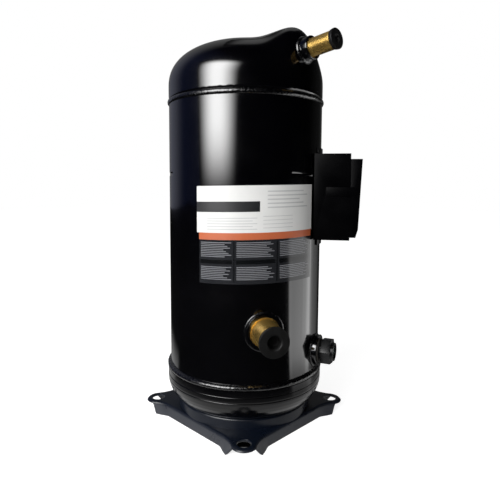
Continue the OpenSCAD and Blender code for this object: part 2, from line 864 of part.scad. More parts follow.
module bottom_cap() {
    groove_low_r = cup_corner + sqrt(pow(cup_knuckle, 2) - pow(groove_low - cup_spring, 2));
    color("#17181b")
        difference() {
            rotate_extrude()
                polygon(concat(
                    [[0, cup_floor]],
                    arc(cup_corner, cup_spring, cup_knuckle, -quarter, 0),
                    [[cup_r, cup_top], [cup_in, cup_top]],
                    arc(cup_corner, cup_spring, cup_knuckle - cup_wall, 0, -quarter),
                    [[0, cup_floor + cup_wall]]));
            rotate_extrude()
                translate([cup_r, groove_high])
                    circle(groove_r);
            rotate_extrude()
                translate([groove_low_r, groove_low])
                    circle(groove_r);
        }
}

module bottom_weld() {
    inner = shell_r + fixed;
    color("#202126")
        rotate_extrude()
            polygon([
                [inner, cup_top + fixed],
                [cup_r, cup_top + fixed],
                [cup_r + cup_bead_out, cup_top + cup_bead_h / 4],
                [cup_r + cup_bead_out / 2, cup_top + cup_bead_h / 2],
                [(inner + cup_r) / 2, cup_top + cup_bead_h - cup_bead_out / 2],
                [inner, cup_top + cup_bead_h]]);
}

module sump_magnet() {
    color("#3a3a3d")
        translate([magnet_at, magnet_at / 2, cup_floor + cup_wall])
            cylinder(r = magnet_r, h = magnet_h);
}

module shell() {
    color("#141519")
        difference() {
            rotate_extrude()
                polygon([
                    [shell_in, shell_bottom],
                    [shell_r, shell_bottom],
                    [shell_r, shell_step],
                    [shell_neck_r, shell_step + shell_wall],
                    [shell_neck_r, shell_top],
                    [shell_neck_in, shell_top],
                    [shell_neck_in, shell_step],
                    [shell_in, shell_step - shell_wall]]);
            radial(suction_a, suction_z)
                rod(suction_r + free, shell_in / 2, shell_r + cut);
            radial(sight_a, sight_z)
                rod(sight_spigot_r + free, shell_in / 2, shell_r + cut);
            radial(box_a, feed_z)
                rod(feed_r + free, shell_in / 2, shell_r + cut);
            for (i = [0:2])
                rotate([0, 0, stake_a - stake_sweep / 2 + third * i])
                    rotate_extrude(angle = stake_sweep)
                        translate([shell_r + stake_r - stake_depth, stake_z])
                            circle(stake_r);
        }
}

module seam_weld() {
    outer = shell_r + fixed;
    low = shell_step - (cap_bottom - shell_step) / 4;
    mid = (low + cap_bottom) / 2;
    color("#202126")
        rotate_extrude()
            polygon([
                [outer, low],
                [(outer + seam_r) / 2, low + cut],
                [seam_r, mid - cut],
                [seam_r, mid + cut],
                [(cap_r + seam_r) / 2, cap_bottom - cut],
                [cap_r, cap_bottom - fixed],
                [shell_neck_r + free, cap_bottom - fixed],
                [shell_neck_r + free, shell_step + shell_wall + 2 * free],
                [outer, shell_step + fixed]]);
}

// Height of the top cap over its plan: a squared dome with a nose along +X
function nose(a) = exp(-pow((a > half_turn ? a - 2 * half_turn : a) / nose_spread, 2));
function ease(t) = let (s = max(0, min(1, t))) s * s * (3 - 2 * s);
function dome_height(r, a, rim, rise) =
    let (
        n = dome_power + nose_power * nose(a),
        top = rise + nose_rise * nose(a) * ease((r - nose_from) / (nose_full - nose_from))
    )
    dome_z + top * pow(max(0, 1 - pow(r / rim, n)), 1 / n);
// One skin of the cap: the centre point, its rings, and the lower edge
function dome_skin(rim, rise) = concat(
    [[0, 0, dome_z + rise]],
    [for (i = [1:dome_rings])
        for (j = [0:dome_sectors - 1])
            let (r = rim * (1 - pow(1 - i / dome_rings, dome_crowd)), a = 2 * half_turn * j / dome_sectors)
            [r * cos(a), r * sin(a), dome_height(r, a, rim, rise)]],
    [for (j = [0:dome_sectors - 1])
        let (a = 2 * half_turn * j / dome_sectors)
        [rim * cos(a), rim * sin(a), cap_bottom]]);
skin_points = 1 + dome_sectors * (dome_rings + 1);
function skin_at(first, i, j) = first + 1 + (i - 1) * dome_sectors + j % dome_sectors;
function skin_faces(first) = concat(
    [for (j = [0:dome_sectors - 1]) [first, skin_at(first, 1, j + 1), skin_at(first, 1, j)]],
    [for (i = [1:dome_rings])
        for (j = [0:dome_sectors - 1])
            each [
                [skin_at(first, i, j), skin_at(first, i, j + 1), skin_at(first, i + 1, j + 1)],
                [skin_at(first, i, j), skin_at(first, i + 1, j + 1), skin_at(first, i + 1, j)]]]);
function flipped(faces) = [for (f = faces) [f[2], f[1], f[0]]];

module top_cap() {
    edge = dome_rings + 1;
    rim_faces = [for (j = [0:dome_sectors - 1])
        each [
            [skin_at(skin_points, edge, j), skin_at(0, edge, j), skin_at(0, edge, j + 1)],
            [skin_at(skin_points, edge, j), skin_at(0, edge, j + 1), skin_at(skin_points, edge, j + 1)]]];
    color("#15161a")
        difference() {
            polyhedron(
                concat(dome_skin(cap_r, dome_rise), dome_skin(cap_r - cap_wall, dome_rise - cap_wall)),
                concat(skin_faces(0), flipped(skin_faces(skin_points)), rim_faces));
            along_discharge()
                rod(discharge_boss_r + fixed, cap_r - dome_rise / 2, cap_r + cut);
        }
}

// A weld boss on the shell: a ring whose back follows the shell
module shell_boss(a, z, r, bore, end) {
    difference() {
        radial(a, z)
            tube(r, bore, shell_in - cut, end);
        rod(shell_r + fixed, z - 2 * r, z + 2 * r, $fn = fine);
    }
}

module suction_boss() {
    color("#17181b")
        shell_boss(suction_a, suction_z, suction_boss_r, suction_collar_r + fixed, suction_boss_end);
}

module suction_stub() {
    color("#b98d52")
        radial(suction_a, suction_z)
            difference() {
                union() {
                    rod(suction_r, suction_in, suction_end);
                    rod(suction_collar_r, shell_r + 2 * fixed, shell_r + suction_collar_h);
                }
                rod(suction_throat_r, suction_in - cut, suction_end);
                rod(suction_socket_r, suction_stop, suction_end + cut);
            }
}

// A rubber cap over the open end of a stub
module stub_cap(stub_r, stub_end, over, lap, end_t, flare, dish_r, dish_deep) {
    bore = stub_r + free;
    cap_out = stub_r + over;
    edge = end_t / 4;
    face = stub_end + end_t;
    lip = stub_end - lap;
    difference() {
        rotate_extrude()
            polygon([
                [0, lip],
                [(bore + cap_out) / 2, lip],
                [cap_out, lip + flare],
                [cap_out, face - edge],
                [cap_out - edge, face],
                [0, face]]);
        rod(bore, lip - cut, stub_end + free);
        rod(dish_r, face - dish_deep, face + cut);
    }
}

module suction_cap() {
    color("#2a2c30")
        radial(suction_a, suction_z)
            stub_cap(suction_r, suction_end, suction_cap_over, suction_cap_lap, suction_cap_end,
                suction_cap_flare, suction_dish_r, suction_dish_deep);
}

module suction_baffle() {
    inner = baffle_r - baffle_t;
    color("#6d7076")
        rotate([0, 0, suction_a - baffle_sweep / 2])
            rotate_extrude(angle = baffle_sweep)
                polygon([
                    [inner, baffle_low],
                    [baffle_r, baffle_low],
                    [baffle_r, baffle_high - baffle_t],
                    [shell_in - fixed, baffle_high - baffle_t],
                    [shell_in - fixed, baffle_high],
                    [inner, baffle_high]]);
}

module discharge_boss() {
    color("#17181b")
        along_discharge()
            tube(discharge_boss_r, discharge_r + fixed, discharge_boss_in, discharge_boss_end);
}

module discharge_stub() {
    color("#b98d52")
        along_discharge()
            difference() {
                rod(discharge_r, discharge_in, discharge_end);
                rod(discharge_throat_r, discharge_in - cut, discharge_end);
                rod(discharge_socket_r, discharge_stop, discharge_end + cut);
            }
}

module discharge_cap() {
    color("#141416")
        along_discharge()
            stub_cap(discharge_r, discharge_end, discharge_cap_over, discharge_cap_lap, discharge_cap_end,
                discharge_cap_flare, discharge_dish_r, discharge_dish_deep);
}

module sight_boss() {
    color("#17181b")
        shell_boss(sight_a, sight_z, sight_boss_r, sight_spigot_r + fixed, sight_boss_end);
}

module sight_gasket() {
    color("#3c3f45")
        radial(sight_a, sight_z)
            tube(sight_gasket_r, sight_spigot_r + fixed, sight_boss_end, sight_boss_end + sight_gasket_t);
}

module sight_body() {
    neck_low = sight_boss_end + sight_gasket_t;
    hex_low = neck_low + sight_neck_l;
    lens_face = sight_end - sight_lens_set;
    color("#1a1b1e")
        radial(sight_a, sight_z)
            difference() {
                union() {
                    rod(sight_spigot_r, shell_in, neck_low + cut);
                    rotate([0, 0, sight_turn])
                        hex(sight_hex_d, hex_low, hex_low + sight_hex_l);
                    rod(sight_end_r, neck_low, sight_end);
                }
                rod(sight_bore_r, shell_in - cut, sight_end);
                rod(sight_lens_r + fixed, lens_face - sight_lens_t, sight_end + cut);
            }
}

module sight_lens() {
    lens_face = sight_end - sight_lens_set;
    color("#9fb4b0")
        radial(sight_a, sight_z)
            rod(sight_lens_r, lens_face - sight_lens_t, lens_face);
}

module terminal_bracket() {
    color("#1d1e22") {
        rotate([0, 0, box_a - bracket_sweep / 2])
            rotate_extrude(angle = bracket_sweep)
                difference() {
                    polygon([[shell_r + fixed, box_low - bracket_show], [bracket_r, box_low - bracket_show],
                        [bracket_r, box_high + bracket_show], [shell_r + fixed, box_high + bracket_show]]);
                    polygon([[shell_r, feed_z - feed_r - free], [bracket_r + cut, feed_z - feed_r - free],
                        [bracket_r + cut, feed_z + feed_r + free], [shell_r, feed_z + feed_r + free]]);
                }
        difference() {
            rotate([0, 0, box_a - bracket_sweep / 2])
                rotate_extrude(angle = bracket_sweep)
                    polygon([
                        [shell_r + fixed, feed_z - feed_r - 2 * cut],
                        [bracket_r, feed_z - feed_r - 2 * cut],
                        [bracket_r, feed_z + feed_r + 2 * cut],
                        [shell_r + fixed, feed_z + feed_r + 2 * cut]]);
            radial(box_a, feed_z)
                rod(feed_r + free, shell_r / 2, bracket_r + 2 * cut);
        }
        for (z = [box_low + stud_inset, box_high - stud_inset])
            radial(box_a, z)
                rod(stud_r, shell_r + 2 * fixed, stud_end);
    }
}

module terminal_box() {
    inner = box_half - box_wall;
    color("#1c1d20")
        difference() {
            box_block(shell_r / 2, box_front, box_half, box_low, box_high);
            rod(box_back_r, box_low - cut, box_high + cut);
            difference() {
                box_block(shell_r / 2, box_front + cut, inner, box_low + box_wall, box_high - box_wall);
                rod(box_back_in, box_low, box_high);
            }
            radial(box_a, feed_z)
                rod(feed_r + 2 * cut, shell_r / 2, box_front);
            for (z = [box_low + stud_inset, box_high - stud_inset])
                radial(box_a, z)
                    rod(stud_r + free, shell_r / 2, box_front);
            radial(box_a + ground_turn, ground_z)
                rod(ground_r + free, shell_r / 2, box_front);
            rotate([0, 0, box_a])
                translate([conduit_at, -inner / 2, 0])
                    rod(conduit_r, box_low - cut, box_low + box_wall + cut);
            for (s = [-1, 1])
                rotate([0, 0, box_a])
                    translate([tongue_tip, s * box_half - tongue_t, tongue_z - tongue_h / 2])
                        translate(-free * [1, 1, 1])
                            cube([box_front, 2 * (tongue_t + free), tongue_h + 2 * free]);
        }
}

module box_nuts() {
    color("#8d9096")
        for (z = [box_low + stud_inset, box_high - stud_inset])
            radial(box_a, z)
                difference() {
                    hex(nut_d, box_back_in, box_back_in + nut_h);
                    rod(stud_r + fixed, box_back_in - cut, box_back_in + nut_h + cut);
                }
}

module box_cover() {
    back = box_front + free / 2;
    color("#1f2023")
        rotate([0, 0, box_a]) {
            difference() {
                translate([0, cover_half, 0])
                    rotate([quarter, 0, 0])
                        linear_extrude(2 * cover_half)
                            polygon([[back, cover_low], [cover_u_low, cover_low], [cover_u_mid, cover_slope],
                                [cover_u_high, cover_high], [back, cover_high]]);
                translate([0, cover_half - cover_wall, 0])
                    rotate([quarter, 0, 0])
                        linear_extrude(2 * (cover_half - cover_wall))
                            polygon([
                                [back - cut, cover_low + cover_wall],
                                [cover_u_low - cover_wall, cover_low + cover_wall],
                                [cover_u_mid - cover_wall, cover_slope],
                                [cover_u_high - cover_wall, cover_high - cover_wall],
                                [back - cut, cover_high - cover_wall]]);
            }
            for (s = [-1, 1])
                translate([tongue_tip, s * (box_half - tongue_t / 2) - tongue_t / 2, tongue_z - tongue_h / 2])
                    cube([cover_u_low - tongue_tip, tongue_t, tongue_h]);
        }
}

module terminal_cup() {
    color("#7c7f86")
        difference() {
            radial(box_a, feed_z)
                difference() {
                    rod(feed_r, feed_in, feed_out);
                    rod(feed_r - feed_wall, feed_in + feed_wall, feed_out + cut);
                }
            at_pins()
                rod(bead_r + fixed, feed_in - cut, feed_in + feed_wall + cut);
        }
}

module terminal_glass() {
    color("#5f7f86")
        at_pins()
            tube(bead_r, pin_r + fixed, feed_in, feed_in + feed_wall);
}

module terminal_pins() {
    color("#b7b9bd")
        at_pins()
            rod(pin_r, pin_in, pin_out);
}

module terminal_block() {
    back = feed_out + free;
    color("#26201c")
        difference() {
            union() {
                radial(box_a, feed_z)
                    rod(block_r, back, block_out);
                radial(box_a, feed_z)
                    for (t = pin_turns)
                        rotate([0, 0, t + half_turn])
                            translate([0, -block_rib / 4, block_out - cut])
                                cube([block_r - cut, block_rib / 2, block_rib + cut]);
            }
            at_pins()
                rod(pin_r + fixed, back - cut, pin_out);
            at_pins()
                rod(screw_r + fixed, pin_out - fixed, block_out + cut);
        }
}

module terminal_screws() {
    color("#a88a4e")
        at_pins() {
            rod(screw_r, pin_out + fixed, block_out + cut);
            rod(screw_head_r, block_out, block_out + screw_head_h);
        }
}

module ground_screw() {
    color("#4f7a4a")
        radial(box_a + ground_turn, ground_z) {
            rod(ground_r, bracket_r + fixed, box_back_in + cut);
            hex(ground_head_d, box_back_in + fixed, box_back_in + nut_h);
        }
}

module lead_connector() {
    color("#2c2926")
        difference() {
            radial(box_a, feed_z)
                rod(plug_r, plug_in, feed_in - cut);
            at_pins()
                rod(pin_r + fixed, pin_in - fixed, feed_in + cut);
        }
}

module motor_leads() {
    turn_top = stack_high + cut + turn_len;
    color("#7a2f2a")
        rotate([0, 0, box_a])
            for (i = [0:2]) {
                across = pin_circle * sin(pin_turns[i]);
                z = feed_z - pin_circle * cos(pin_turns[i]);
                u = plug_in - 2 * lead_r - 3 * lead_r * lead_steps[i];
                translate([0, across, 0]) {
                    translate([0, 0, z])
                        rotate([0, quarter, 0])
                            rod(lead_r, u, plug_in);
                    translate([u, 0, 0])
                        rod(lead_r, turn_top + fixed, z);
                    translate([u, 0, z])
                        sphere(lead_r);
                }
            }
}

module lower_bracket() {
    color("#4c4f55")
        difference() {
            union() {
                rod(low_hub_r, low_hub_low, low_hub_high);
                intersection() {
                    rod(shell_in - fixed, arm_low, arm_low + pad_h);
                    for (i = [0:2])
                        rotate([0, 0, arm_a + third * i]) {
                            translate([0, -arm_w / 2, arm_low])
                                cube([shell_r, arm_w, arm_t]);
                            translate([shell_in - pad_t - cut, -arm_w / 2, arm_low])
                                cube([shell_r, arm_w, pad_h]);
                        }
                }
            }
            rod(low_journal_r + running + bush_wall + fixed, low_hub_low - cut, low_hub_high + cut);
        }
}

module lower_bush() {
    color("#a9844a")
        tube(low_journal_r + running + bush_wall, low_journal_r + running, low_hub_low + fixed, low_hub_high);
}

module thrust_plate() {
    color("#6b6e74")
        tube(low_hub_r - cut, oil_tube_r + cut, low_hub_low - thrust_t, low_hub_low);
}

module oil_tube() {
    color("#85888e")
        tube(oil_tube_r, oil_tube_r - oil_tube_wall, oil_tube_low, oil_tube_high);
}

module crankshaft() {
    color("#8b8e94")
        difference() {
            union() {
                rod(low_journal_r, shaft_low, collar_low + cut);
                rod(shaft_collar_r, collar_low, weight_low - fixed);
                rod(seat_r, collar_low, ring_high + weight_h);
                rod(main_journal_r, collar_low, main_journal_top);
                translate([orbit, 0, 0])
                    rod(pin_crank_r, collar_low, pin_crank_top);
            }
            rod(oil_tube_r + fixed, shaft_low - cut, oil_tube_high);
            translate([oil_at, 0, 0])
                rod(oil_r, oil_tube_high - 3 * cut, pin_crank_top + cut);
        }
}

module drive_bushing() {
    color("#9a9da3")
        translate([orbit, 0, 0])
            tube(drive_r, pin_crank_r + fixed, drive_low, drive_high);
}

module rotor_core() {
    color("#5d6067")
        tube(rotor_r, seat_r + fixed, stack_low, stack_high);
}

module rotor_rings() {
    color("#b4b7bb") {
        tube(rotor_r, ring_in, ring_low, stack_low);
        tube(rotor_r, ring_in, stack_high, ring_high);
    }
}

// A part ring clamped to the rotor, about the direction given
module counterweight(a, from) {
    rotate([0, 0, a - weight_sweep / 2])
        rotate_extrude(angle = weight_sweep)
            translate([seat_r + fixed, from])
                square([weight_r - seat_r - fixed, weight_h]);
}

module upper_weight() {
    color("#777a80")
        counterweight(half_turn, ring_high);
}

module lower_weight() {
    color("#777a80")
        counterweight(0, weight_low);
}

module stator_core() {
    color("#565961")
        difference() {
            tube(stator_r, stator_bore, stack_low, stack_high);
            for (i = [0:slot_count - 1])
                rotate([0, 0, 2 * half_turn * i / slot_count]) {
                    translate([slot_near, -slot_w / 2, stack_low - cut])
                        cube([slot_deep - slot_near, slot_w, stack_h + 2 * cut]);
                    translate([stator_bore - cut, -slot_mouth / 2, stack_low - cut])
                        cube([slot_near - stator_bore + 2 * cut, slot_mouth, stack_h + 2 * cut]);
                }
            for (i = [0:passage_count - 1])
                rotate([0, 0, half_turn * (2 * i + 1) / passage_count])
                    translate([stator_r + passage_r - passage_depth, 0, 0])
                        rod(passage_r, stack_low - cut, stack_high + cut);
        }
}

// Rounded section of one ring of end turns, between two heights
module turn_section(from, to) {
    polygon(concat(
        arc(turn_in + turn_round, from + turn_round, turn_round, half_turn, half_turn + quarter),
        arc(turn_out - turn_round, from + turn_round, turn_round, -quarter, 0),
        arc(turn_out - turn_round, to - turn_round, turn_round, 0, quarter),
        arc(turn_in + turn_round, to - turn_round, turn_round, quarter, half_turn)));
}

module windings() {
    top = stack_high + cut;
    bottom = stack_low - cut;
    color("#a5622f") {
        rotate_extrude()
            turn_section(top, top + turn_len);
        rotate_extrude()
            turn_section(bottom - turn_len, bottom);
        for (i = [0:slot_count - 1])
            rotate([0, 0, 2 * half_turn * i / slot_count])
                translate([slot_near + cut, -slot_w / 2 + free, bottom - turn_round])
                    cube([slot_deep - slot_near - 2 * cut, slot_w - 2 * free, top - bottom + 2 * turn_round]);
    }
}

module main_housing() {
    bore = main_journal_r + running + bush_wall + fixed;
    outer = shell_in - free;
    color("#4a4d53")
        difference() {
            union() {
                rotate_extrude()
                    polygon([[bore, main_hub_low], [main_hub_r, main_hub_low], [main_hub_r, flange_low],
                        [outer, flange_low], [outer, flange_high], [channel_r + channel_wall, flange_high],
                        [channel_r + channel_wall, channel_top], [channel_r, channel_top],
                        [channel_r, channel_floor], [thrust_r, channel_floor],
                        [thrust_r, thrust_face], [hollow_r, thrust_face],
                        [hollow_r, hollow_floor], [bore, hollow_floor]]);
                at_posts()
                    rod(post_r, flange_low, post_top);
            }
            for (i = [0:window_count - 1])
                rotate([0, 0, 2 * half_turn * i / window_count])
                    translate([channel_r + channel_wall + cut, -window_w / 2, flange_low - cut])
                        cube([window_h, window_w, flange_high - flange_low + 2 * cut]);
            at_posts()
                rod(bolt_r + fixed, post_top - thread_l - cut, post_top + cut);
            for (i = [0, 1])
                rotate([0, 0, key_a + quarter + half_turn * i])
                    translate([thrust_r + fixed, -key_w / 2 - orbit - free, channel_floor - key_h])
                        cube([channel_r - thrust_r - 2 * fixed, key_w + 2 * (orbit + free), key_h + cut]);
        }
}

module main_bush() {
    bore = main_journal_r + running;
    color("#a9844a")
        tube(bore + bush_wall, bore, main_hub_low, hollow_floor - 2 * cut);
}

module oldham_ring() {
    width = oldham_out - oldham_in;
    color("#7f8288")
        translate([orbit, 0, 0]) {
            tube(oldham_out, oldham_in, oldham_low, oldham_high);
            for (i = [0, 1]) {
                rotate([0, 0, key_a + half_turn * i])
                    translate([oldham_in + cut, -key_w / 2, oldham_high - cut])
                        cube([width - 4 * cut, key_w, plate_low - oldham_high + key_h / 2 + cut]);
                rotate([0, 0, key_a + quarter + half_turn * i])
                    translate([oldham_in + cut, -key_w / 2, oldham_low - key_h + 2 * free])
                        cube([width - 2 * cut, key_w, key_h]);
            }
        }
}

// Involute wrap: the point at an angle on a flank, and the closed section.
// It winds so that a positive turn of the shaft carries the gas pockets inwards.
function flank(p, side) =
    let (s = p * PI / half_turn + side * wrap_half)
    [base_circle * (cos(p) + s * sin(p)), -base_circle * (sin(p) - s * cos(p))];
function wrap_section() = concat(
    [for (p = [wrap_from:wrap_step:wrap_to]) flank(p, 1)],
    [for (p = [wrap_to:-wrap_step:wrap_from]) flank(p, -1)]);

module orbiting_scroll() {
    bore = drive_r + running + bush_wall + fixed;
    color("#94979d")
        translate([orbit, 0, 0])
            difference() {
                union() {
                    rod(plate_r, plate_low, plate_top);
                    rod(hub_r, hub_low, plate_low + cut);
                    translate([0, 0, plate_top - cut])
                        linear_extrude(wrap_h + cut - tip_gap)
                            polygon(wrap_section());
                }
                rod(bore, hub_low - cut, plate_low);
                for (i = [0, 1])
                    rotate([0, 0, key_a + half_turn * i])
                        translate([oldham_in, -key_w / 2 - key_gap, plate_low - cut])
                            cube([plate_r, key_w + 2 * key_gap, key_h / 2 + cut + free]);
            }
}

module orbiting_bush() {
    color("#a9844a")
        translate([orbit, 0, 0])
            tube(drive_r + running + bush_wall, drive_r + running, hub_low, drive_high + cut);
}

module fixed_scroll() {
    wall_low = plate_top + tip_gap;
    color("#9b9ea4")
        difference() {
            union() {
                rod(fixed_r, wrap_root, fixed_top);
                tube(fixed_r, wall_in, wall_low, wrap_root + cut);
                rotate([0, 0, half_turn])
                    translate([0, 0, wall_low])
                        linear_extrude(wrap_root - wall_low + cut)
                            polygon(wrap_section());
                tube(chamber_wall_r, chamber_out, fixed_top - cut, fixed_top + chamber_h);
                tube(chamber_in, chamber_bore, fixed_top - cut, fixed_top + chamber_h);
                at_posts() {
                    rod(ear_r, ear_low, ear_top);
                    translate([-post_circle + wall_in + 2 * cut, -ear_r, ear_low])
                        cube([post_circle - wall_in - 2 * cut, 2 * ear_r, ear_top - ear_low]);
                }
            }
            rod(port_r, wrap_root - cut, fixed_top + cut);
            at_posts()
                rod(ear_hole_r, ear_low - cut, ear_top + cut);
            for (i = [0, 1])
                rotate([0, 0, inlet_a + half_turn * i])
                    translate([wall_in - cut, -inlet_w / 2, wall_low + wrap_h / 4])
                        cube([fixed_r, inlet_w, wrap_h / 2]);
        }
}

module guide_sleeves() {
    color("#84878d")
        at_posts()
            tube(sleeve_r, bolt_r + free, post_top, sleeve_top);
}

module guide_bolts() {
    color("#5b5e64")
        at_posts() {
            rod(bolt_r, post_top - thread_l, sleeve_top + cut);
            hex(bolt_head_d, sleeve_top, sleeve_top + bolt_head_h);
        }
}

module floating_seal() {
    low = fixed_top + free;
    inner = chamber_in + seal_gap;
    outer = chamber_out - seal_gap;
    color("#6f7278")
        rotate_extrude()
            polygon([
                [inner, low],
                [outer, low],
                [outer, low + seal_plate],
                [inner + 3 * seal_lip, low + seal_plate],
                [inner + 2 * seal_lip, seal_top],
                [inner + seal_lip, seal_top],
                [inner, low + seal_plate]]);
}

module partition() {
    color("#5f6268")
        rotate_extrude()
            polygon([
                [part_hole, part_mid],
                [part_flat, part_mid],
                [part_rim, part_low],
                [shell_neck_r, part_low],
                [shell_neck_r, part_low + part_t],
                [part_rim, part_low + part_t],
                [part_flat, part_top],
                [part_hole, part_top]]);
}

module valve_seat() {
    color("#85888e")
        tube(valve_r, valve_hole, part_top, seat_top);
}

module valve_disc() {
    color("#a2a5ab")
        rod(disc_r, seat_top + free, seat_top + free + disc_t);
}

module valve_cage() {
    color("#74777d")
        difference() {
            rod(valve_r, seat_top, seat_top + cage_h);
            rod(cage_in, seat_top - cut, seat_top + cage_h - cage_top);
            rod(cage_hole, seat_top, seat_top + cage_h + cut);
            for (i = [0:2])
                rotate([0, 0, third * i])
                    translate([0, -cage_window / 2, seat_top + cage_top])
                        cube([2 * valve_r, cage_window, cage_h - 2 * cage_top]);
        }
}

base_plate();
bottom_cap();
bottom_weld();
shell();
seam_weld();
top_cap();
suction_boss();
suction_stub();
suction_cap();
suction_baffle();
discharge_boss();
discharge_stub();
discharge_cap();
sight_boss();
sight_gasket();
sight_body();
sight_lens();
terminal_bracket();
terminal_box();
box_nuts();
box_cover();
terminal_cup();
terminal_glass();
terminal_pins();
terminal_block();
terminal_screws();
ground_screw();
lead_connector();
motor_leads();
sump_magnet();
lower_bracket();
lower_bush();
thrust_plate();
oil_tube();
crankshaft();
drive_bushing();
rotor_core();
rotor_rings();
upper_weight();
lower_weight();
stator_core();
windings();
main_housing();
main_bush();
oldham_ring();
orbiting_scroll();
orbiting_bush();
fixed_scroll();
guide_sleeves();
guide_bolts();
floating_seal();
partition();
valve_seat();
valve_disc();
valve_cage();
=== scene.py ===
"""A scroll compressor in black enamel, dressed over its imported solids."""
import math

import bmesh
import bpy
from bpy.props import FloatProperty, FloatVectorProperty, PointerProperty
from mathutils import Matrix, Vector, noise


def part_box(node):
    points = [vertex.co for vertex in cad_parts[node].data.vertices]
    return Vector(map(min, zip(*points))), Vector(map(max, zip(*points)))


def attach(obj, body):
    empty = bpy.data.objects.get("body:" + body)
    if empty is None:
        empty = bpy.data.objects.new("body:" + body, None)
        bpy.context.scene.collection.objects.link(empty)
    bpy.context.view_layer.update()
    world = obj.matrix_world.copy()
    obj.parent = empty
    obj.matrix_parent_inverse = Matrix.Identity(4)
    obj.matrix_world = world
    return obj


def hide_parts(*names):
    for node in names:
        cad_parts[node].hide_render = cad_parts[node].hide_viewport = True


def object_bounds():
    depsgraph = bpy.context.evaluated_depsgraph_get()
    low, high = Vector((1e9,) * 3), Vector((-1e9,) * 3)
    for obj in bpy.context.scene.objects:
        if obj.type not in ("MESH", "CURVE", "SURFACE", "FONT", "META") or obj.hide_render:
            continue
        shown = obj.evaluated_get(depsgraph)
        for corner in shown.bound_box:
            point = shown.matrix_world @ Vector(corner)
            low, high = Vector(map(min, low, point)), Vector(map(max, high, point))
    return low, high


bl_info = {
    "name": "Scroll Compressor",
    "version": (1, 0, 0),
    "blender": (4, 5, 0),
    "location": "View3D > Sidebar > Compressor",
    "description": "Dresses a scroll compressor and lays out its studio",
    "category": "Object",
}

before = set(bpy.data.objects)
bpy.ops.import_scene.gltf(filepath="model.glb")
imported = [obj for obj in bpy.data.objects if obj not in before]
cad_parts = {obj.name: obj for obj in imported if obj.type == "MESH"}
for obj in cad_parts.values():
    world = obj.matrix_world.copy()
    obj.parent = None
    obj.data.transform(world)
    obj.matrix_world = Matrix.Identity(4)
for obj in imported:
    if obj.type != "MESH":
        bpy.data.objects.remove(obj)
CAD_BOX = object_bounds()
MM = 0.001

# Where the fittings stand round the shell, in degrees from +X, and how high, in metres
SUCTION_TURN, SUCTION_Z = -31.5, 0.1435
DISCHARGE_TILT, DISCHARGE_Z = 6.0, 0.514
SIGHT_TURN, SIGHT_Z = 22.0, 0.097
# The camera looks at the shell's axis from this side, in degrees from +X
FRONT_TURN = -45.0
# The photograph's camera: its place in metres, its pitch below level and its roll in radians
CAMERA_AT, CAMERA_PITCH, CAMERA_ROLL = (0.5097, -0.5097, 0.3381), 0.089, 0.0048


def linear(code):
    """An sRGB hex colour as linear red, green and blue."""
    parts = [int(code[i:i + 2], 16) / 255 for i in (1, 3, 5)]
    return tuple(c / 12.92 if c <= 0.04045 else ((c + 0.055) / 1.055) ** 2.4 for c in parts)


def length(name, description, default):
    """A length property in metres."""
    return FloatProperty(name=name, description=description, default=default, unit="LENGTH",
                         subtype="DISTANCE", precision=4)


def colour(name, description, code):
    """A colour property, written as sRGB hex."""
    return FloatVectorProperty(name=name, description=description, default=linear(code),
                               subtype="COLOR", size=3, min=0.0, max=1.0)


class CompressorSizes(bpy.types.PropertyGroup):
    """Sizes of the dressed pieces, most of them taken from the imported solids"""
    shell_r: length("Shell radius", "Outside radius of the shell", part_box("shell")[1][0])
    cap_r: length("Top cap radius", "Outside radius of the top cap's skirt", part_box("top_cap")[1][0])
    cap_low: length("Top cap edge", "Height of the top cap's lower edge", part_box("top_cap")[0][2])
    skirt: length("Skirt", "Height of the straight skirt below the dome", 0.018)
    dome_rise: length("Dome rise", "Height of the dome above its skirt", 0.0655)
    skirt_edge: length("Skirt edge", "Height of the skirt's drawn-in lower edge", 0.0048)
    skirt_draw: length("Skirt draw", "How far the skirt's lower edge is drawn in", 0.0016)
    nose_rise: length("Nose rise", "How far the nose stands above the dome", 0.013)
    cap_wall: length("Cap wall", "Wall of the pressed top cap", 0.0035)
    sheet: length("Base sheet", "Thickness of the pressed base sheet", 0.0035)
    bend: length("Base bend", "Outside radius of the bends round the base", 0.0045)
    ripple: length("Weld ripple", "Height of the ripples along a weld bead", 0.0006)
    ripple_pitch: length("Weld pitch", "Distance between a weld bead's ripples", 0.0035)
    box_edge: length("Box edge", "Rounding of the terminal box's edges", 0.0016)
    cover_edge: length("Cover edge", "Rounding of the box cover's edges", 0.0008)
    sight_edge: length("Sight glass edge", "Rounding of the sight glass's edges", 0.0009)
    boss_edge: length("Boss edge", "Rounding of the bosses' edges", 0.0012)
    label_film: length("Label film", "How far the label film stands off the shell", 0.00025)


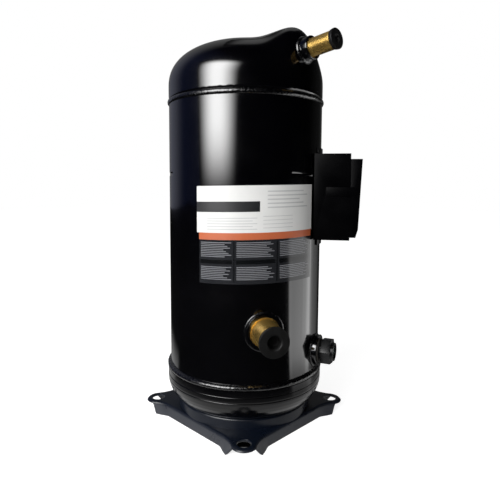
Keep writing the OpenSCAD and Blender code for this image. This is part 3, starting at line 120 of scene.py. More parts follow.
class CompressorColours(bpy.types.PropertyGroup):
    """Colours of the finishes"""
    enamel: colour("Enamel", "Black enamel on shell, caps and base", "#010102")
    enamel_thin: colour("Thin enamel", "Where the enamel is thin or dusty", "#030305")
    # plate and flange: the flat top is blue-black, and the flanges are a lighter grey painted sheen where
    # light falls on them, varied at random by the wiped tone
    plate: colour("Plate", "Pooled enamel on the base's flat top", "#0a101b")
    flange: colour("Flange", "Thin enamel on the base's flanges", "#2a2c32")
    flange_sheen_wiped: colour("Wiped flange", "Wiped places on the base's flanges", "#3a3c42")
    brass: colour("Brass", "The stubs' turned brass", "#ecc670")
    brass_dull: colour("Dull brass", "Brass that has tarnished", "#c99f52")
    rubber: colour("Rubber", "The stubs' caps", "#070707")
    plastic: colour("Plastic", "Terminal box and cover", "#010102")
    film_white: colour("White film", "Main panel of the label", "#d4d4d2")
    film_dark: colour("Dark film", "Dark bar on the label", "#1a1b1e")
    film_orange: colour("Orange film", "Strip below the main panel", "#b65c34")
    film_grey: colour("Grey film", "Lower panel of the label", "#232427")
    film_ruled: colour("Ruled film", "Rules on the lower panel", "#76777b")
    film_black: colour("Black film", "Bars on the lower panel", "#0d0e10")
    film_faint: colour("Faint film", "Rules on the main panel", "#b4b5b6")


def add(tree, kind, settings=None, links=None):
    """Add a shader node; settings go to its attributes or sockets, links come from sockets or nodes."""
    made = tree.nodes.new("ShaderNode" + kind)
    for key, value in (settings or {}).items():
        if isinstance(key, str) and hasattr(made, key):
            setattr(made, key, value)
        else:
            made.inputs[key].default_value = value
    for key, source in (links or {}).items():
        if isinstance(source, bpy.types.Node):
            source = source.outputs[0]
        tree.links.new(source, made.inputs[key])
    return made


def begin(name, sockets):
    """A new material, its node tree and its shader with these socket values."""
    made = bpy.data.materials.new(name)
    made.use_nodes = True
    tree = made.node_tree
    shader = tree.nodes["Principled BSDF"]
    for key, value in sockets.items():
        shader.inputs[key].default_value = value
    return made, tree, shader


def speckle(tree, shader, size, colours, rough, bump):
    """Break a shader up by noise of one real size in mm: two colours, roughness from and to, and bump."""
    place = add(tree, "TexCoord").outputs["Object"]
    grain = add(tree, "TexNoise", {"Scale": 1 / (size * MM), "Detail": 3.0}, {"Vector": place})
    if colours:
        tone = add(tree, "Mix", {"data_type": "RGBA", 6: (*colours[0], 1), 7: (*colours[1], 1)}, {0: grain})
        tree.links.new(tone.outputs[2], shader.inputs["Base Color"])
    spread = add(tree, "MapRange", {"From Min": 0.3, "From Max": 0.7, "To Min": rough[0], "To Max": rough[1]},
                 {"Value": grain})
    tree.links.new(spread.outputs["Result"], shader.inputs["Roughness"])
    if bump:
        across, strength, depth = bump
        fine = add(tree, "TexNoise", {"Scale": 1 / (across * MM), "Detail": 2.0}, {"Vector": place})
        relief = add(tree, "Bump", {"Strength": strength, "Distance": depth * MM}, {"Height": fine})
        tree.links.new(relief.outputs["Normal"], shader.inputs["Normal"])
    return place, grain


def grained(name, sockets, *grain):
    """A material with these socket values that is speckled and no more."""
    made, tree, shader = begin(name, sockets)
    speckle(tree, shader, *grain)
    return made


def stoved_enamel(look, name, clear, gloss):
    # Black enamel sprayed on pressed steel and stoved: a deep wet black with a clear skin,
    # orange peel about 4 mm across and slow drifts in gloss
    return grained(name, {"IOR": 1.52, "Specular IOR Level": 0.2, "Coat Weight": 1.0,
                          "Coat Roughness": gloss, "Coat IOR": clear},
                   45, (look.enamel, look.enamel_thin), (0.14, 0.24), (4, 0.03, 0.3))


def base_enamel_with_painted_sheen(look):
    # The same enamel on the base, satin: blue-black on the flat top, while the upright flanges are painted
    # lighter grey, a painted sheen that stands in for the light falling on them
    made, tree, shader = begin("base_enamel_painted_flange_sheen", {"IOR": 1.52, "Specular IOR Level": 0.4})
    place, grain = speckle(tree, shader, 22, None, (0.26, 0.4), (1.4, 0.1, 0.2))
    split = add(tree, "SeparateXYZ", {}, {0: place})
    # Low on the base, on its flanges, the colour is the painted sheen; on the flat top it is the plate's
    # blue-black
    height = add(tree, "MapRange", {"From Min": -2 * MM, "From Max": 3 * MM}, {"Value": split.outputs["Z"]})
    thin = add(tree, "Mix", {"data_type": "RGBA", 6: (*look.flange, 1), 7: (*look.flange_sheen_wiped, 1)},
               {0: grain})
    tone = add(tree, "Mix", {"data_type": "RGBA", 7: (*look.plate, 1)}, {0: height, 6: thin.outputs[2]})
    tree.links.new(tone.outputs[2], shader.inputs["Base Color"])
    return made


def welded_enamel(look):
    # The same enamel over a weld bead: the ripples and spatter below it show as glints
    return grained("stoved_enamel_on_weld", {"IOR": 1.52, "Specular IOR Level": 0.3, "Coat Weight": 1.0,
                                             "Coat Roughness": 0.12, "Coat IOR": 1.6},
                   6, (look.enamel, look.enamel_thin), (0.2, 0.36), (2.4, 0.9, 1.0))


def turned_brass(look, name, axis):
    # Brass turned on a lathe: bright gold with faint rings 1.4 mm apart and cloudy tarnish.
    # The real feed marks are finer, and are drawn this coarse so that they show
    feed = 1.4 * MM
    made, tree, shader = begin(name, {"Metallic": 0.9})
    place, grain = speckle(tree, shader, 14, (look.brass_dull, look.brass), (0.2, 0.34), None)
    along = add(tree, "VectorMath", {"operation": "DOT_PRODUCT", 1: axis}, {0: place}).outputs["Value"]
    turns = add(tree, "Math", {"operation": "MULTIPLY", 1: math.tau / feed}, {0: along})
    groove = add(tree, "Math", {"operation": "SINE"}, {0: turns})
    relief = add(tree, "Bump", {"Strength": 0.25, "Distance": 0.15 * MM}, {"Height": groove})
    tree.links.new(relief.outputs["Normal"], shader.inputs["Normal"])
    return made


def moulded_rubber(look):
    # Black rubber moulded in a rough tool: dull, a little dusty, softly grained
    return grained("moulded_black_rubber", {"IOR": 1.52, "Specular IOR Level": 0.3},
                   9, (look.rubber, linear("#0d0d0d")), (0.5, 0.7), (0.8, 0.2, 0.15))


def moulded_plastic(look):
    # Glass-filled nylon moulded in a spark-eroded tool: satin black with a fine even grain
    return grained("moulded_black_nylon", {"IOR": 1.53, "Specular IOR Level": 0.05},
                   30, (look.plastic, linear("#030304")), (0.3, 0.42), (0.7, 0.18, 0.1))


def printed_film(name, tint, shade, rough):
    # Polyester label film, printed and varnished: even colour, satin, faint unevenness of the glue
    return grained(name, {"IOR": 1.58}, 18, (shade, tint), (rough, rough + 0.1), (12, 0.06, 0.2))


# The rest of the finishes, mostly on pieces inside the shell: name, two tones, metallic, roughness from
# and to, grain in mm, and the bump's grain in mm, strength and depth in mm
PLAIN_FINISHES = {
    # Free-machining steel, painted black over the flats: soft edges of the hexagon catch light
    "sight_steel": ("painted_black_steel", "#040506", "#08090b", 0.0, 0.2, 0.32, 20, 1.5, 0.1, 0.1),
    # Pressed fibre washer: dull grey-brown felted paper
    "gasket_fibre": ("pressed_fibre", "#33312f", "#46423d", 0.0, 0.75, 0.9, 3, 0.7, 0.4, 0.2),
    # Zinc-plated and passivated steel: pale grey with a blue cast and cloudy gloss
    "zinc_screws": ("zinc_plated_steel", "#a9adb3", "#c3c6ca", 1.0, 0.3, 0.45, 4, 0.6, 0.1, 0.05),
    # Cold-rolled steel as pressed, oily: grey with drawn streaks
    "pressed_steel": ("pressed_bright_steel", "#7d8188", "#989ca2", 1.0, 0.32, 0.5, 12, 1.0, 0.1, 0.1),
    # Nickel-iron stampings of the feed-through: warm grey, satin
    "terminal_steel": ("nickel_plated_steel", "#9d9b95", "#b6b3ac", 1.0, 0.3, 0.45, 5, 0.6, 0.1, 0.05),
    # Phenolic moulding: dark brown-black with a dull skin
    "block_plastic": ("moulded_phenolic", "#1a1716", "#26211f", 0.0, 0.5, 0.65, 8, 0.8, 0.2, 0.1),
    # Polyester sleeving on the motor leads: off-white woven tube
    "lead_sleeving": ("woven_sleeving", "#c9c2ae", "#ddd7c6", 0.0, 0.7, 0.85, 2, 1.0, 0.4, 0.2),
    # Sintered ferrite: dull charcoal
    "magnet_ferrite": ("sintered_ferrite", "#2c2c2f", "#3b3b3f", 0.0, 0.6, 0.75, 3, 0.8, 0.3, 0.1),
    # Sintered bronze bush: brown-gold, oily
    "bearing_bronze": ("sintered_bronze", "#8a6236", "#a87b46", 1.0, 0.35, 0.5, 4, 0.8, 0.15, 0.05),
    # Ground steel shaft: bright with a fine even scratch
    "ground_steel": ("ground_steel", "#a2a5aa", "#b9bcc0", 1.0, 0.18, 0.28, 10, 0.6, 0.06, 0.03),
    # Stacked lamination edges: dark blue-grey oxide
    "laminations": ("oxidised_laminations", "#4b4f57", "#5d626a", 1.0, 0.45, 0.6, 6, 0.7, 0.25, 0.1),
    # Die-cast aluminium end rings: pale, slightly frosted
    "cast_aluminium": ("die_cast_aluminium", "#b2b4b6", "#cccdce", 1.0, 0.38, 0.55, 7, 1.2, 0.2, 0.1),
    # Cast brass counterweights: dull gold skin
    "weight_brass": ("cast_brass", "#94713a", "#b08c4e", 1.0, 0.4, 0.55, 8, 1.5, 0.25, 0.15),
    # Enamelled copper wire in the end turns: reddish brown with a varnish gloss
    "copper_wire": ("enamelled_copper", "#8a4a24", "#a8602f", 1.0, 0.3, 0.45, 5, 2.0, 0.5, 0.4),
    # Grey iron castings, machined on their faces: dark grey, open grain
    "grey_iron": ("machined_grey_iron", "#5c5f63", "#74777b", 1.0, 0.35, 0.55, 6, 0.9, 0.2, 0.1),
}


def plain_finish(name, low, high, metallic, rough_low, rough_high, size, *bump):
    """One of the plain finishes of the list above."""
    return grained(name, {"Metallic": metallic},
                   size, (linear(low), linear(high)), (rough_low, rough_high), bump)


def clear_glass(name, tint, rough):
    # Pressed glass, polished on its face: greenish in depth, almost clear
    return grained(name, {"IOR": 1.5, "Transmission Weight": 0.9, "Base Color": (*linear(tint), 1)},
                   6, None, rough, (5, 0.02, 0.1))


FINISHES = {}


def around(turn, radius, height):
    """The point at a turn in degrees from +X, a radius and a height."""
    a = math.radians(turn)
    return Vector((radius * math.cos(a), radius * math.sin(a), height))


def placed(name, mesh):
    """Put a bmesh in the scene as an object of this name."""
    data = bpy.data.meshes.new(name)
    mesh.to_mesh(data)
    mesh.free()
    made = bpy.data.objects.new(name, data)
    bpy.context.scene.collection.objects.link(made)
    return made


def piece(name, mesh, finish, body, slot, *nodes, sharp=35.0):
    """Put a bmesh in the scene as one smooth piece that rides on a body and stands for nodes."""
    bmesh.ops.recalc_face_normals(mesh, faces=mesh.faces)
    made = placed(name, mesh)
    made.data.polygons.foreach_set("use_smooth", [True] * len(made.data.polygons))
    made.data.set_sharp_from_angle(angle=math.radians(sharp))
    made.data.materials.append(FINISHES[finish])
    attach(made, body)
    if nodes:
        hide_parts(*nodes)


def smooth(share):
    """A share from 0 to 1, eased at both ends."""
    share = min(1.0, max(0.0, share))
    return share * share * (3 - 2 * share)


def ring_of(mesh, points):
    """Vertices at these points."""
    return [mesh.verts.new(p) for p in points]


def skin(mesh, rings, closed=True):
    """Faces between each ring of vertices and the next; a ring can be a single point."""
    for pair in zip(rings, rings[1:]):
        count = max(map(len, pair))
        one, two = [ring * count if len(ring) == 1 else ring for ring in pair]
        for i in range(count if closed else count - 1):
            j = (i + 1) % count
            mesh.faces.new(list(dict.fromkeys((one[i], one[j], two[j], two[i]))))


def eased(points, radius, steps=4):
    """An open outline with each inner corner rounded."""
    done = [Vector(points[0])]
    for before, corner, after in zip(points, points[1:], points[2:]):
        before, corner, after = Vector(before), Vector(corner), Vector(after)
        inward, outward = before - corner, after - corner
        reach = min(radius, inward.length * 0.45, outward.length * 0.45)
        start = corner + inward.normalized() * reach
        end = corner + outward.normalized() * reach
        for k in range(steps + 1):
            t = k / steps
            done.append(start * (1 - t) ** 2 + corner * 2 * t * (1 - t) + end * t * t)
    done.append(Vector(points[-1]))
    return done


def spun(mesh, outline, place, count=96):
    """Spin an outline of (radius, distance) pairs about place's Z axis."""
    rings = []
    for radius, far in outline:
        turns = [360.0 * i / count for i in range(count if radius > 1e-7 else 1)]
        rings.append(ring_of(mesh, [place @ around(turn, radius, far) for turn in turns]))
    skin(mesh, rings)


def outward(turn, height):
    """A frame whose Z axis points straight out of the shell at a turn and height."""
    return (Matrix.Translation((0, 0, height)) @ Matrix.Rotation(math.radians(turn), 4, "Z")
            @ Matrix.Rotation(math.radians(90), 4, "Y"))


def along_discharge(cap_r):
    """A frame whose Z axis is the discharge stub's axis, zero below the cap's radius."""
    return (Matrix.Translation((cap_r, 0, DISCHARGE_Z))
            @ Matrix.Rotation(math.radians(90 - DISCHARGE_TILT), 4, "Y")
            @ Matrix.Translation((0, 0, -cap_r)))


def softened(node, width):
    """A copy of a CAD node's mesh with its sharp edges rounded."""
    sharp = math.radians(30)
    mesh = bmesh.new()
    mesh.from_mesh(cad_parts[node].data)
    bmesh.ops.remove_doubles(mesh, verts=mesh.verts, dist=1e-6)
    bmesh.ops.dissolve_limit(mesh, angle_limit=math.radians(0.5), verts=mesh.verts, edges=mesh.edges)
    edges = [e for e in mesh.edges if len(e.link_faces) == 2 and e.calc_face_angle(0) > sharp]
    bmesh.ops.bevel(mesh, geom=edges, offset=width, segments=3, profile=0.5,
                    affect="EDGES", clamp_overlap=True)
    return mesh


class COMPRESSOR_OT_finishes(bpy.types.Operator):
    """Make every finish and give each carried-over solid the one of its slot"""
    bl_idname = "compressor.finishes"
    bl_label = "Finishes"

    def execute(self, context):
        look = context.scene.compressor_colours
        suction = around(SUCTION_TURN, 1, 0)
        tilt = math.radians(DISCHARGE_TILT)
        discharge = Vector((math.cos(tilt), 0, math.sin(tilt)))
        FINISHES.update(
            black_paint=stoved_enamel(look, "stoved_black_enamel", 1.7, 0.07),
            cup_paint=stoved_enamel(look, "stoved_satin_enamel", 1.45, 0.16),
            base_paint=base_enamel_with_painted_sheen(look),
            weld=welded_enamel(look),
            suction_brass=turned_brass(look, "turned_brass_suction", suction),
            discharge_brass=turned_brass(look, "turned_brass_discharge", discharge),
            cap_rubber=moulded_rubber(look),
            box_plastic=moulded_plastic(look),
            sight_glass=clear_glass("polished_sight_glass", "#c8d8d2", (0.03, 0.08)),
            glass_seal=clear_glass("fused_glass_bead", "#7f8f7a", (0.1, 0.2)),
        )
        satin, glossy = 0.36, 0.1
        for tint, shade, rough in (
                ("white", "#cdcdcb", satin), ("dark", "#161719", satin), ("orange", "#ad5630", satin),
                ("grey", "#1e1f22", glossy), ("ruled", "#6a6b6f", glossy), ("black", "#090a0b", glossy),
                ("faint", "#aaabac", satin)):
            FINISHES["film_" + tint] = printed_film(
                tint + "_label_film", getattr(look, "film_" + tint), linear(shade), rough)
        for slot, finish in PLAIN_FINISHES.items():
            FINISHES[slot] = plain_finish(*finish)
        for name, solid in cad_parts.items():
            slot = solid.data.materials[0].name
            if name in ("suction_stub", "discharge_stub"):
                slot = name.replace("stub", "brass")
            if name == "bottom_cap":
                slot = "cup_paint"
            if slot not in FINISHES:
                raise RuntimeError(f"no finish for {name}'s slot {slot}")
            solid.data.materials[0] = FINISHES[slot]
        return {"FINISHED"}


# The dome: the power that squares its section, and what the nose adds to it. The nose: how wide it is in
# degrees, and how far inside the cap's rim it starts and over what length it rises, in mm
DOME_SQUARE, NOSE_SQUARE = 2.3, 2.5
NOSE_WIDE, NOSE_START, NOSE_LENGTH = 19.0, 65.4, 57.0
# Along the discharge stub's axis its boss leaves the dome between these distances, in mm
LEAVES_FROM, LEAVES_TO = 60.0, 130.0
DISCHARGE_HOLE_R, DISCHARGE_BOSS_R = 15.3, 15.5


def dome_height(size, r, turn, rim, rise):
    """Height of the dome at a radius and a turn, for an outer or inner skin of this rim and rise."""
    lean = math.exp(-(turn / NOSE_WIDE) ** 2)
    power = DOME_SQUARE + NOSE_SQUARE * lean
    up_nose = smooth((r - size.cap_r + NOSE_START * MM) / (NOSE_LENGTH * MM))
    top = rise + size.nose_rise * lean * up_nose
    return size.cap_low + size.skirt + top * max(0.0, 1 - (r / rim) ** power) ** (1 / power)


class COMPRESSOR_OT_top_cap(bpy.types.Operator):
    """The pressed top cap: a squared dome that swells into a nose over the discharge stub"""
    bl_idname = "compressor.top_cap"
    bl_label = "Top cap"

    def execute(self, context):
        size = context.scene.compressor_sizes
        springs = size.cap_low + size.skirt
        # The courses crowd together towards the rim, where the dome turns down
        sectors, courses, crowding = 192, 56, 2.6
        # How many steps the skirt's drawn-in edge has, and the radius of the circle on which noise is read
        # for the weld's bites into it
        edge_courses, bites = 7, 40.0
        turns = [360.0 * j / sectors - (360.0 if 2 * j > sectors else 0.0) for j in range(sectors)]
        mesh, skins = bmesh.new(), []
        for rim, rise in ((size.cap_r, size.dome_rise),
                          (size.cap_r - size.cap_wall, size.dome_rise - size.cap_wall)):
            outside = rim == size.cap_r
            rings = [ring_of(mesh, [(0, 0, springs + rise)])]
            for i in range(1, courses + 1):
                r = rim * (1 - (1 - i / courses) ** crowding)
                rings.append(ring_of(mesh, [around(turn, r, dome_height(size, r, turn, rim, rise))
                                            for turn in turns]))
            # Outside, the skirt's lower edge is drawn in, unevenly where the weld has eaten into it
            for k in range(0 if outside else edge_courses, edge_courses + 1):
                a = math.pi / 2 * k / edge_courses
                ring = []
                for turn in turns:
                    eaten = noise.noise(around(turn, bites, 0.5))
                    drop = size.skirt_edge * (1 + 0.5 * eaten) * (1 - math.sin(a))
                    draw = size.skirt_draw * (1 - 0.3 * eaten) * (1 - math.cos(a)) if outside else 0.0
                    ring.append(around(turn, rim - draw, size.cap_low + drop))
                rings.append(ring_of(mesh, ring))
            skin(mesh, rings)
            skins.append(rings)
        skin(mesh, [skins[0][-1], skins[1][-1]])
        # The stub's boss passes through the cap
        stub, away = along_discharge(size.cap_r).inverted(), []
        for face in mesh.faces:
            near = [stub @ v.co for v in face.verts]
            if all(math.hypot(p.x, p.y) < DISCHARGE_HOLE_R * MM and p.z > LEAVES_FROM * MM for p in near):
                away.append(face)
        bmesh.ops.delete(mesh, geom=away, context="FACES")
        piece("top_cap_pressing", mesh, "black_paint", "housing", "black_paint", "top_cap", sharp=50)
        return {"FINISHED"}


def bead(name, line, out, up, size, seed, *nodes):
    """Put a weld bead along a closed line of (point, outward, upward): a half-round, rippled."""
    # How close the waves, the slow drifts and the pits lie along the bead, the steps across it, and the
    # share of its height that it has where nothing swells it
    waves, drifts, pits, steps, full = 0.9, 0.13, 700.0, 10, 0.92
    mesh, rings = bmesh.new(), []
    for at, (point, away, rise) in enumerate(line):
        wave = noise.noise(Vector((at * waves + seed, seed, 0.0)))
        slow = noise.noise(Vector((at * drifts + seed, seed + 5.0, 0.0)))
        ring = []
        for k in range(steps + 1):
            a = math.pi * (k / steps - 0.5)
            rough = noise.noise(point * pits + Vector((0, seed, k * 0.6)))
            grow = 1 + (size.ripple / out) * (0.55 * wave + 0.5 * rough) + 0.06 * slow
            ring.append(point + away * (out * min(1.0, grow * full) * math.cos(a))
                        + rise * (up * (1 + 0.1 * wave) * math.sin(a) + 0.3 * MM * slow * math.cos(a)))
        rings.append(ring_of(mesh, ring))
    skin(mesh, rings + rings[:1], closed=False)
    piece(name, mesh, "weld", "housing", "black_paint", *nodes, sharp=80)


class COMPRESSOR_OT_weld_beads(bpy.types.Operator):
    """The weld beads round the shell's two seams and round its bosses"""
    bl_idname = "compressor.weld_beads"
    bl_label = "Weld beads"

    def execute(self, context):
        size = context.scene.compressor_sizes
        count, steps = round(math.tau * size.shell_r / size.ripple_pitch * 2), 96

        # Round the shell: name, node, how deep in mm its line lies in the shell, middle, half height, seed
        low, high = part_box("seam_weld")
        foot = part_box("bottom_weld")[0][2]
        for name, node, deep, middle, half, seed in (
                ("seam_bead", "seam_weld", 0.4, (low[2] + high[2]) / 2, (high[2] - low[2]) / 2, 3.0),
                ("bottom_bead", "bottom_weld", 0.6, foot + 3.4 * MM, 4.4 * MM, 11.0)):
            radius, line = size.shell_r - deep * MM, []
            for i in range(count):
                turn = 360.0 * i / count
                line.append((around(turn, radius, middle), around(turn, 1, 0), Vector((0, 0, 1))))
            bead(name, line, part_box(node)[1][0] - radius, half, size, seed, node)

        # Round the bosses on the shell, where they meet its curve
        for name, turn, height, radius in (("suction_bead", SUCTION_TURN, SUCTION_Z, 25.3 * MM),
                                           ("sight_bead", SIGHT_TURN, SIGHT_Z, 22.3 * MM)):
            spin, line = Matrix.Rotation(math.radians(turn), 3, "Z"), []
            for i in range(steps):
                a = math.tau * i / steps
                side, rise = radius * math.cos(a), radius * math.sin(a)
                deep = math.sqrt(size.shell_r ** 2 - side ** 2)
                normal = spin @ Vector((deep, side, 0)).normalized()
                ray = spin @ Vector((0, side, rise)).normalized()
                line.append((spin @ Vector((deep, side, height + rise)), normal, ray))
            bead(name, line, 1.7 * MM, 2.2 * MM, size, height * 100)

        # Round the discharge boss, where it leaves the dome: found by halving the distance
        place = along_discharge(size.cap_r)
        turned = place.to_3x3()
        axis = turned @ Vector((0, 0, 1))
        line = []
        for i in range(steps):
            near, far = LEAVES_FROM * MM, LEAVES_TO * MM
            for _ in range(30):
                middle = (near + far) / 2
                point = place @ around(360.0 * i / steps, DISCHARGE_BOSS_R * MM, middle)
                r = math.hypot(point.x, point.y)
                turn = math.degrees(math.atan2(point.y, point.x))
                dome = dome_height(size, r, turn, size.cap_r, size.dome_rise)
                inside = r < size.cap_r and point.z < dome
                near, far = (middle, far) if inside else (near, middle)
            ray = turned @ around(360.0 * i / steps, 1, 0)
            line.append((point, (ray + axis).normalized(), (ray - axis).normalized()))
        bead("discharge_bead", line, 2.4 * MM, 3.2 * MM, size, 21.0)
        return {"FINISHED"}


# Plan of the base, in mm: foot centres, radius and holes, side lines and the fillets from feet to sides
FOOT, FOOT_R, HOLE_R, SIDE, FILLET = 95.25, 17.5, 9.5, 102.0, 55.0
# Its flanges, in mm: how deep they hang, how far off the centre they end and over what length they rise,
# and how far they flare out near the feet, from what distance and over what length
FLANGE_DROP, FLANGE_END, FLANGE_SLOPE = 12.5, 141.0, 8.0
FLARE, FLARE_FROM, FLARE_LENGTH = 7.0, 104.0, 22.0
# Its collar, in mm
COLLAR_IN, COLLAR_OUT, COLLAR_TOP = 97.0, 100.5, 17.6


def base_line(inset):
    """The base's outline moved in by inset, as points in mm."""
    far = SIDE + FILLET
    near = FOOT - math.sqrt((FOOT_R + FILLET) ** 2 - (far - FOOT) ** 2)
    lean = math.atan2(FOOT - near, far - FOOT)
    corner = []

    def arc(x, y, r, start, end, count):
        for i in range(count + 1):
            a = start + (end - start) * i / count
            corner.append((x + r * math.cos(a), y + r * math.sin(a)))

    arc(far, near, FILLET + inset, math.pi, math.pi - lean, 14)
    arc(FOOT, FOOT, FOOT_R - inset, -lean, math.pi / 2 + lean, 40)
    arc(near, far, FILLET + inset, lean - math.pi / 2, -math.pi / 2, 14)
    line = []
    for quarter in range(4):
        a = quarter * math.pi / 2
        line += [(x * math.cos(a) - y * math.sin(a), x * math.sin(a) + y * math.cos(a)) for x, y in corner]
    return line


class COMPRESSOR_OT_base_plate(bpy.types.Operator):
    """The base, pressed from one sheet: rounded bends, flanges that run out near each foot's tip"""
    bl_idname = "compressor.base_plate"
    bl_label = "Base plate"

    def execute(self, context):
        size = context.scene.compressor_sizes
        mesh = bmesh.new()
        sheet, bend = size.sheet / MM, size.bend / MM
        reach = [(abs(x) + abs(y)) / math.sqrt(2) for x, y in base_line(0)]
        foot_low = [-FLANGE_DROP * min(1.0, max(0.0, (FLANGE_END - d) / FLANGE_SLOPE)) for d in reach]

        def course(inset, height):
            line = []
            for i, ((x, y), (out_x, out_y)) in enumerate(zip(base_line(inset), base_line(-1))):
                z = height(i)
                flare = FLARE * smooth((reach[i] - FLARE_FROM) / FLARE_LENGTH)
                away = Vector((out_x - x, out_y - y)).normalized()
                away *= flare * max(0.0, sheet - bend - z) / FLANGE_DROP
                line.append(Vector((x + away.x, y + away.y, z)) * MM)
            return ring_of(mesh, line)

        # How high the rounding of the cut edge reaches, on a flange and at a foot's tip
        edge, tip = 0.8, 0.7

        def edge_top(i):
            hangs = foot_low[i] < -2.0
            return min(sheet - bend, foot_low[i] + edge) if hangs else foot_low[i] + tip

        rings, inside = [], bend - sheet
        for k in range(9):
            a = math.radians(90 - 11.25 * k)
            inset, rise = bend - bend * math.cos(a), sheet - bend + bend * math.sin(a)
            rings.append(course(inset, lambda i, z=rise: max(z, foot_low[i] + tip)))
        rings.append(course(0.0, edge_top))
        for inset, rise in ((0.25, 0.2), (edge, 0.0), (sheet - edge, 0.0)):
            rings.append(course(inset, lambda i, more=rise: foot_low[i] + more))
        rings.append(course(sheet - 0.2, lambda i: min(0.0, foot_low[i] + 0.3)))
        for k in range(5):
            a = math.radians(22.5 * k)
            inset, rise = bend - inside * math.cos(a), sheet - bend + inside * math.sin(a)
            rings.append(course(inset, lambda i, z=rise: max(z, min(0.0, foot_low[i] + 0.3))))
        skin(mesh, rings)

        def circle(x, y, r, z, count):
            return ring_of(mesh, [Vector((x + r * math.cos(math.tau * i / count),
                                          y + r * math.sin(math.tau * i / count), z)) * MM
                                  for i in range(count)])

        upper, lower = [rings[0]], [rings[-1]]
        for sx, sy in ((1, 1), (-1, 1), (-1, -1), (1, -1)):
            wall = [circle(sx * FOOT, sy * FOOT, HOLE_R + more, z, 48) for more, z in (
                (0.6, sheet), (0.1, sheet - 0.5), (0.0, sheet / 2), (0.1, 0.5), (0.6, 0.0))]
            skin(mesh, wall)
            upper.append(wall[0])
            lower.append(wall[-1])
        upper.append(circle(0, 0, COLLAR_IN, sheet, 144))
        lower.append(circle(0, 0, COLLAR_IN, 0.0, 144))
        skin(mesh, [upper[-1], lower[-1]])
        for loops, facing in ((upper, 1), (lower, -1)):
            edges = []
            for loop in loops:
                for one, two in zip(loop, loop[1:] + loop[:1]):
                    edges.append(mesh.edges.get((one, two)) or mesh.edges.new((one, two)))
            bmesh.ops.triangle_fill(mesh, use_beauty=True, edges=edges, normal=(0, 0, facing))
        # The collar that seats the bottom cap, its upper edge dressed down against the cap
        foot = 0.4
        outline = [(COLLAR_IN, foot), (COLLAR_IN, COLLAR_TOP - 1.2), (COLLAR_IN + 1.1, COLLAR_TOP),
                   (COLLAR_OUT - 0.9, COLLAR_TOP - 0.6), (COLLAR_OUT, COLLAR_TOP - 2.0), (COLLAR_OUT, foot)]
        spun(mesh, [(r * MM, z * MM) for r, z in eased(outline, 0.5)], Matrix.Identity(4), 144)
        piece("base_pressing", mesh, "base_paint", "housing", "black_paint", "base_plate", sharp=40)
        return {"FINISHED"}


class COMPRESSOR_OT_stub_caps(bpy.types.Operator):
    """The rubber caps over the ends of the two brass stubs, each with a moulded recess"""
    bl_idname = "compressor.stub_caps"
    bl_label = "Stub caps"

    def execute(self, context):
        size = context.scene.compressor_sizes
        # In mm: room round the stub, rubber behind and round the recess, and the recess's draft
        room, back, wall, draft = 0.3, 1.4, 1.0, 0.3
        # name, frame, stub radius and end, cap radius, lap, end, flare, recess radius, depth, rim, body
        for name, place, stub_r, end, cap_r, lap, thick, flare, dish, deep, rim, body in (
                ("suction_cap", outward(SUCTION_TURN, SUCTION_Z), 18.7, 157.0, 19.9, 2.5, 2.3, 0.8,
                 8.7, 13.0, 1.6, "suction_closure"),
                ("discharge_cap", along_discharge(size.cap_r), 11.8, 159.0, 13.2, 2.9, 1.9, 3.0,
                 4.8, 2.6, 0.6, "discharge_closure")):
            bore, face, lip = stub_r + room, end + thick, end - lap
            floor = face - deep
            outline = [(0.0, floor - back), (dish + wall, floor - back), (dish + wall, end + room),
                       (bore, end + room), (bore, lip), ((bore + cap_r) / 2, lip), (cap_r, lip + flare),
                       (cap_r, face), (dish + rim, face), (dish, face - rim), (dish - draft, floor),
                       (0.0, floor)]
            mesh = bmesh.new()
            spun(mesh, [(r * MM, z * MM) for r, z in eased(outline, 0.9, 5)], place)
            piece(name + "_rubber", mesh, "cap_rubber", body, "cap_rubber", name, sharp=60)
        return {"FINISHED"}


class COMPRESSOR_OT_terminal_box(bpy.types.Operator):
    """The moulded terminal box and its snap-on cover"""
    bl_idname = "compressor.terminal_box"
    bl_label = "Terminal box"

    def execute(self, context):
        size = context.scene.compressor_sizes
        piece("terminal_box_moulding", softened("terminal_box", size.box_edge), "box_plastic",
              "housing", "box_plastic", "terminal_box")
        piece("box_cover_moulding", softened("box_cover", size.cover_edge), "box_plastic", "cover",
              "box_plastic", "box_cover")
        return {"FINISHED"}


class COMPRESSOR_OT_fittings(bpy.types.Operator):
    """The sight glass and the bosses, with their edges broken"""
    bl_idname = "compressor.fittings"
    bl_label = "Fittings"

    def execute(self, context):
        size = context.scene.compressor_sizes
        piece("sight_fitting", softened("sight_body", size.sight_edge), "sight_steel", "housing",
              "sight_steel", "sight_body")
        for name in ("sight_boss", "suction_boss", "discharge_boss"):
            piece(name + "_turned", softened(name, size.boss_edge), "black_paint", "housing",
                  "black_paint", name)
        return {"FINISHED"}


# The label: its edges in degrees from the front and in mm above the feet's underside, how its rows climb to
# the right in degrees, and where they cross their height
WHITE_LEFT, WHITE_RIGHT, BAR_RIGHT = -34.3, 54.0, 9.8
STRIP_LEFT, GREY_LEFT, GREY_RIGHT = -32.5, -32.2, 53.2
GREY_LOW, GREY_HIGH, STRIP_HIGH, WHITE_HIGH = 208.0, 266.2, 275.3, 336.5
BAR_LOW, BAR_HIGH = 302.5, 316.0
LABEL_CLIMB, LABEL_MIDDLE = 1.0, 9.5


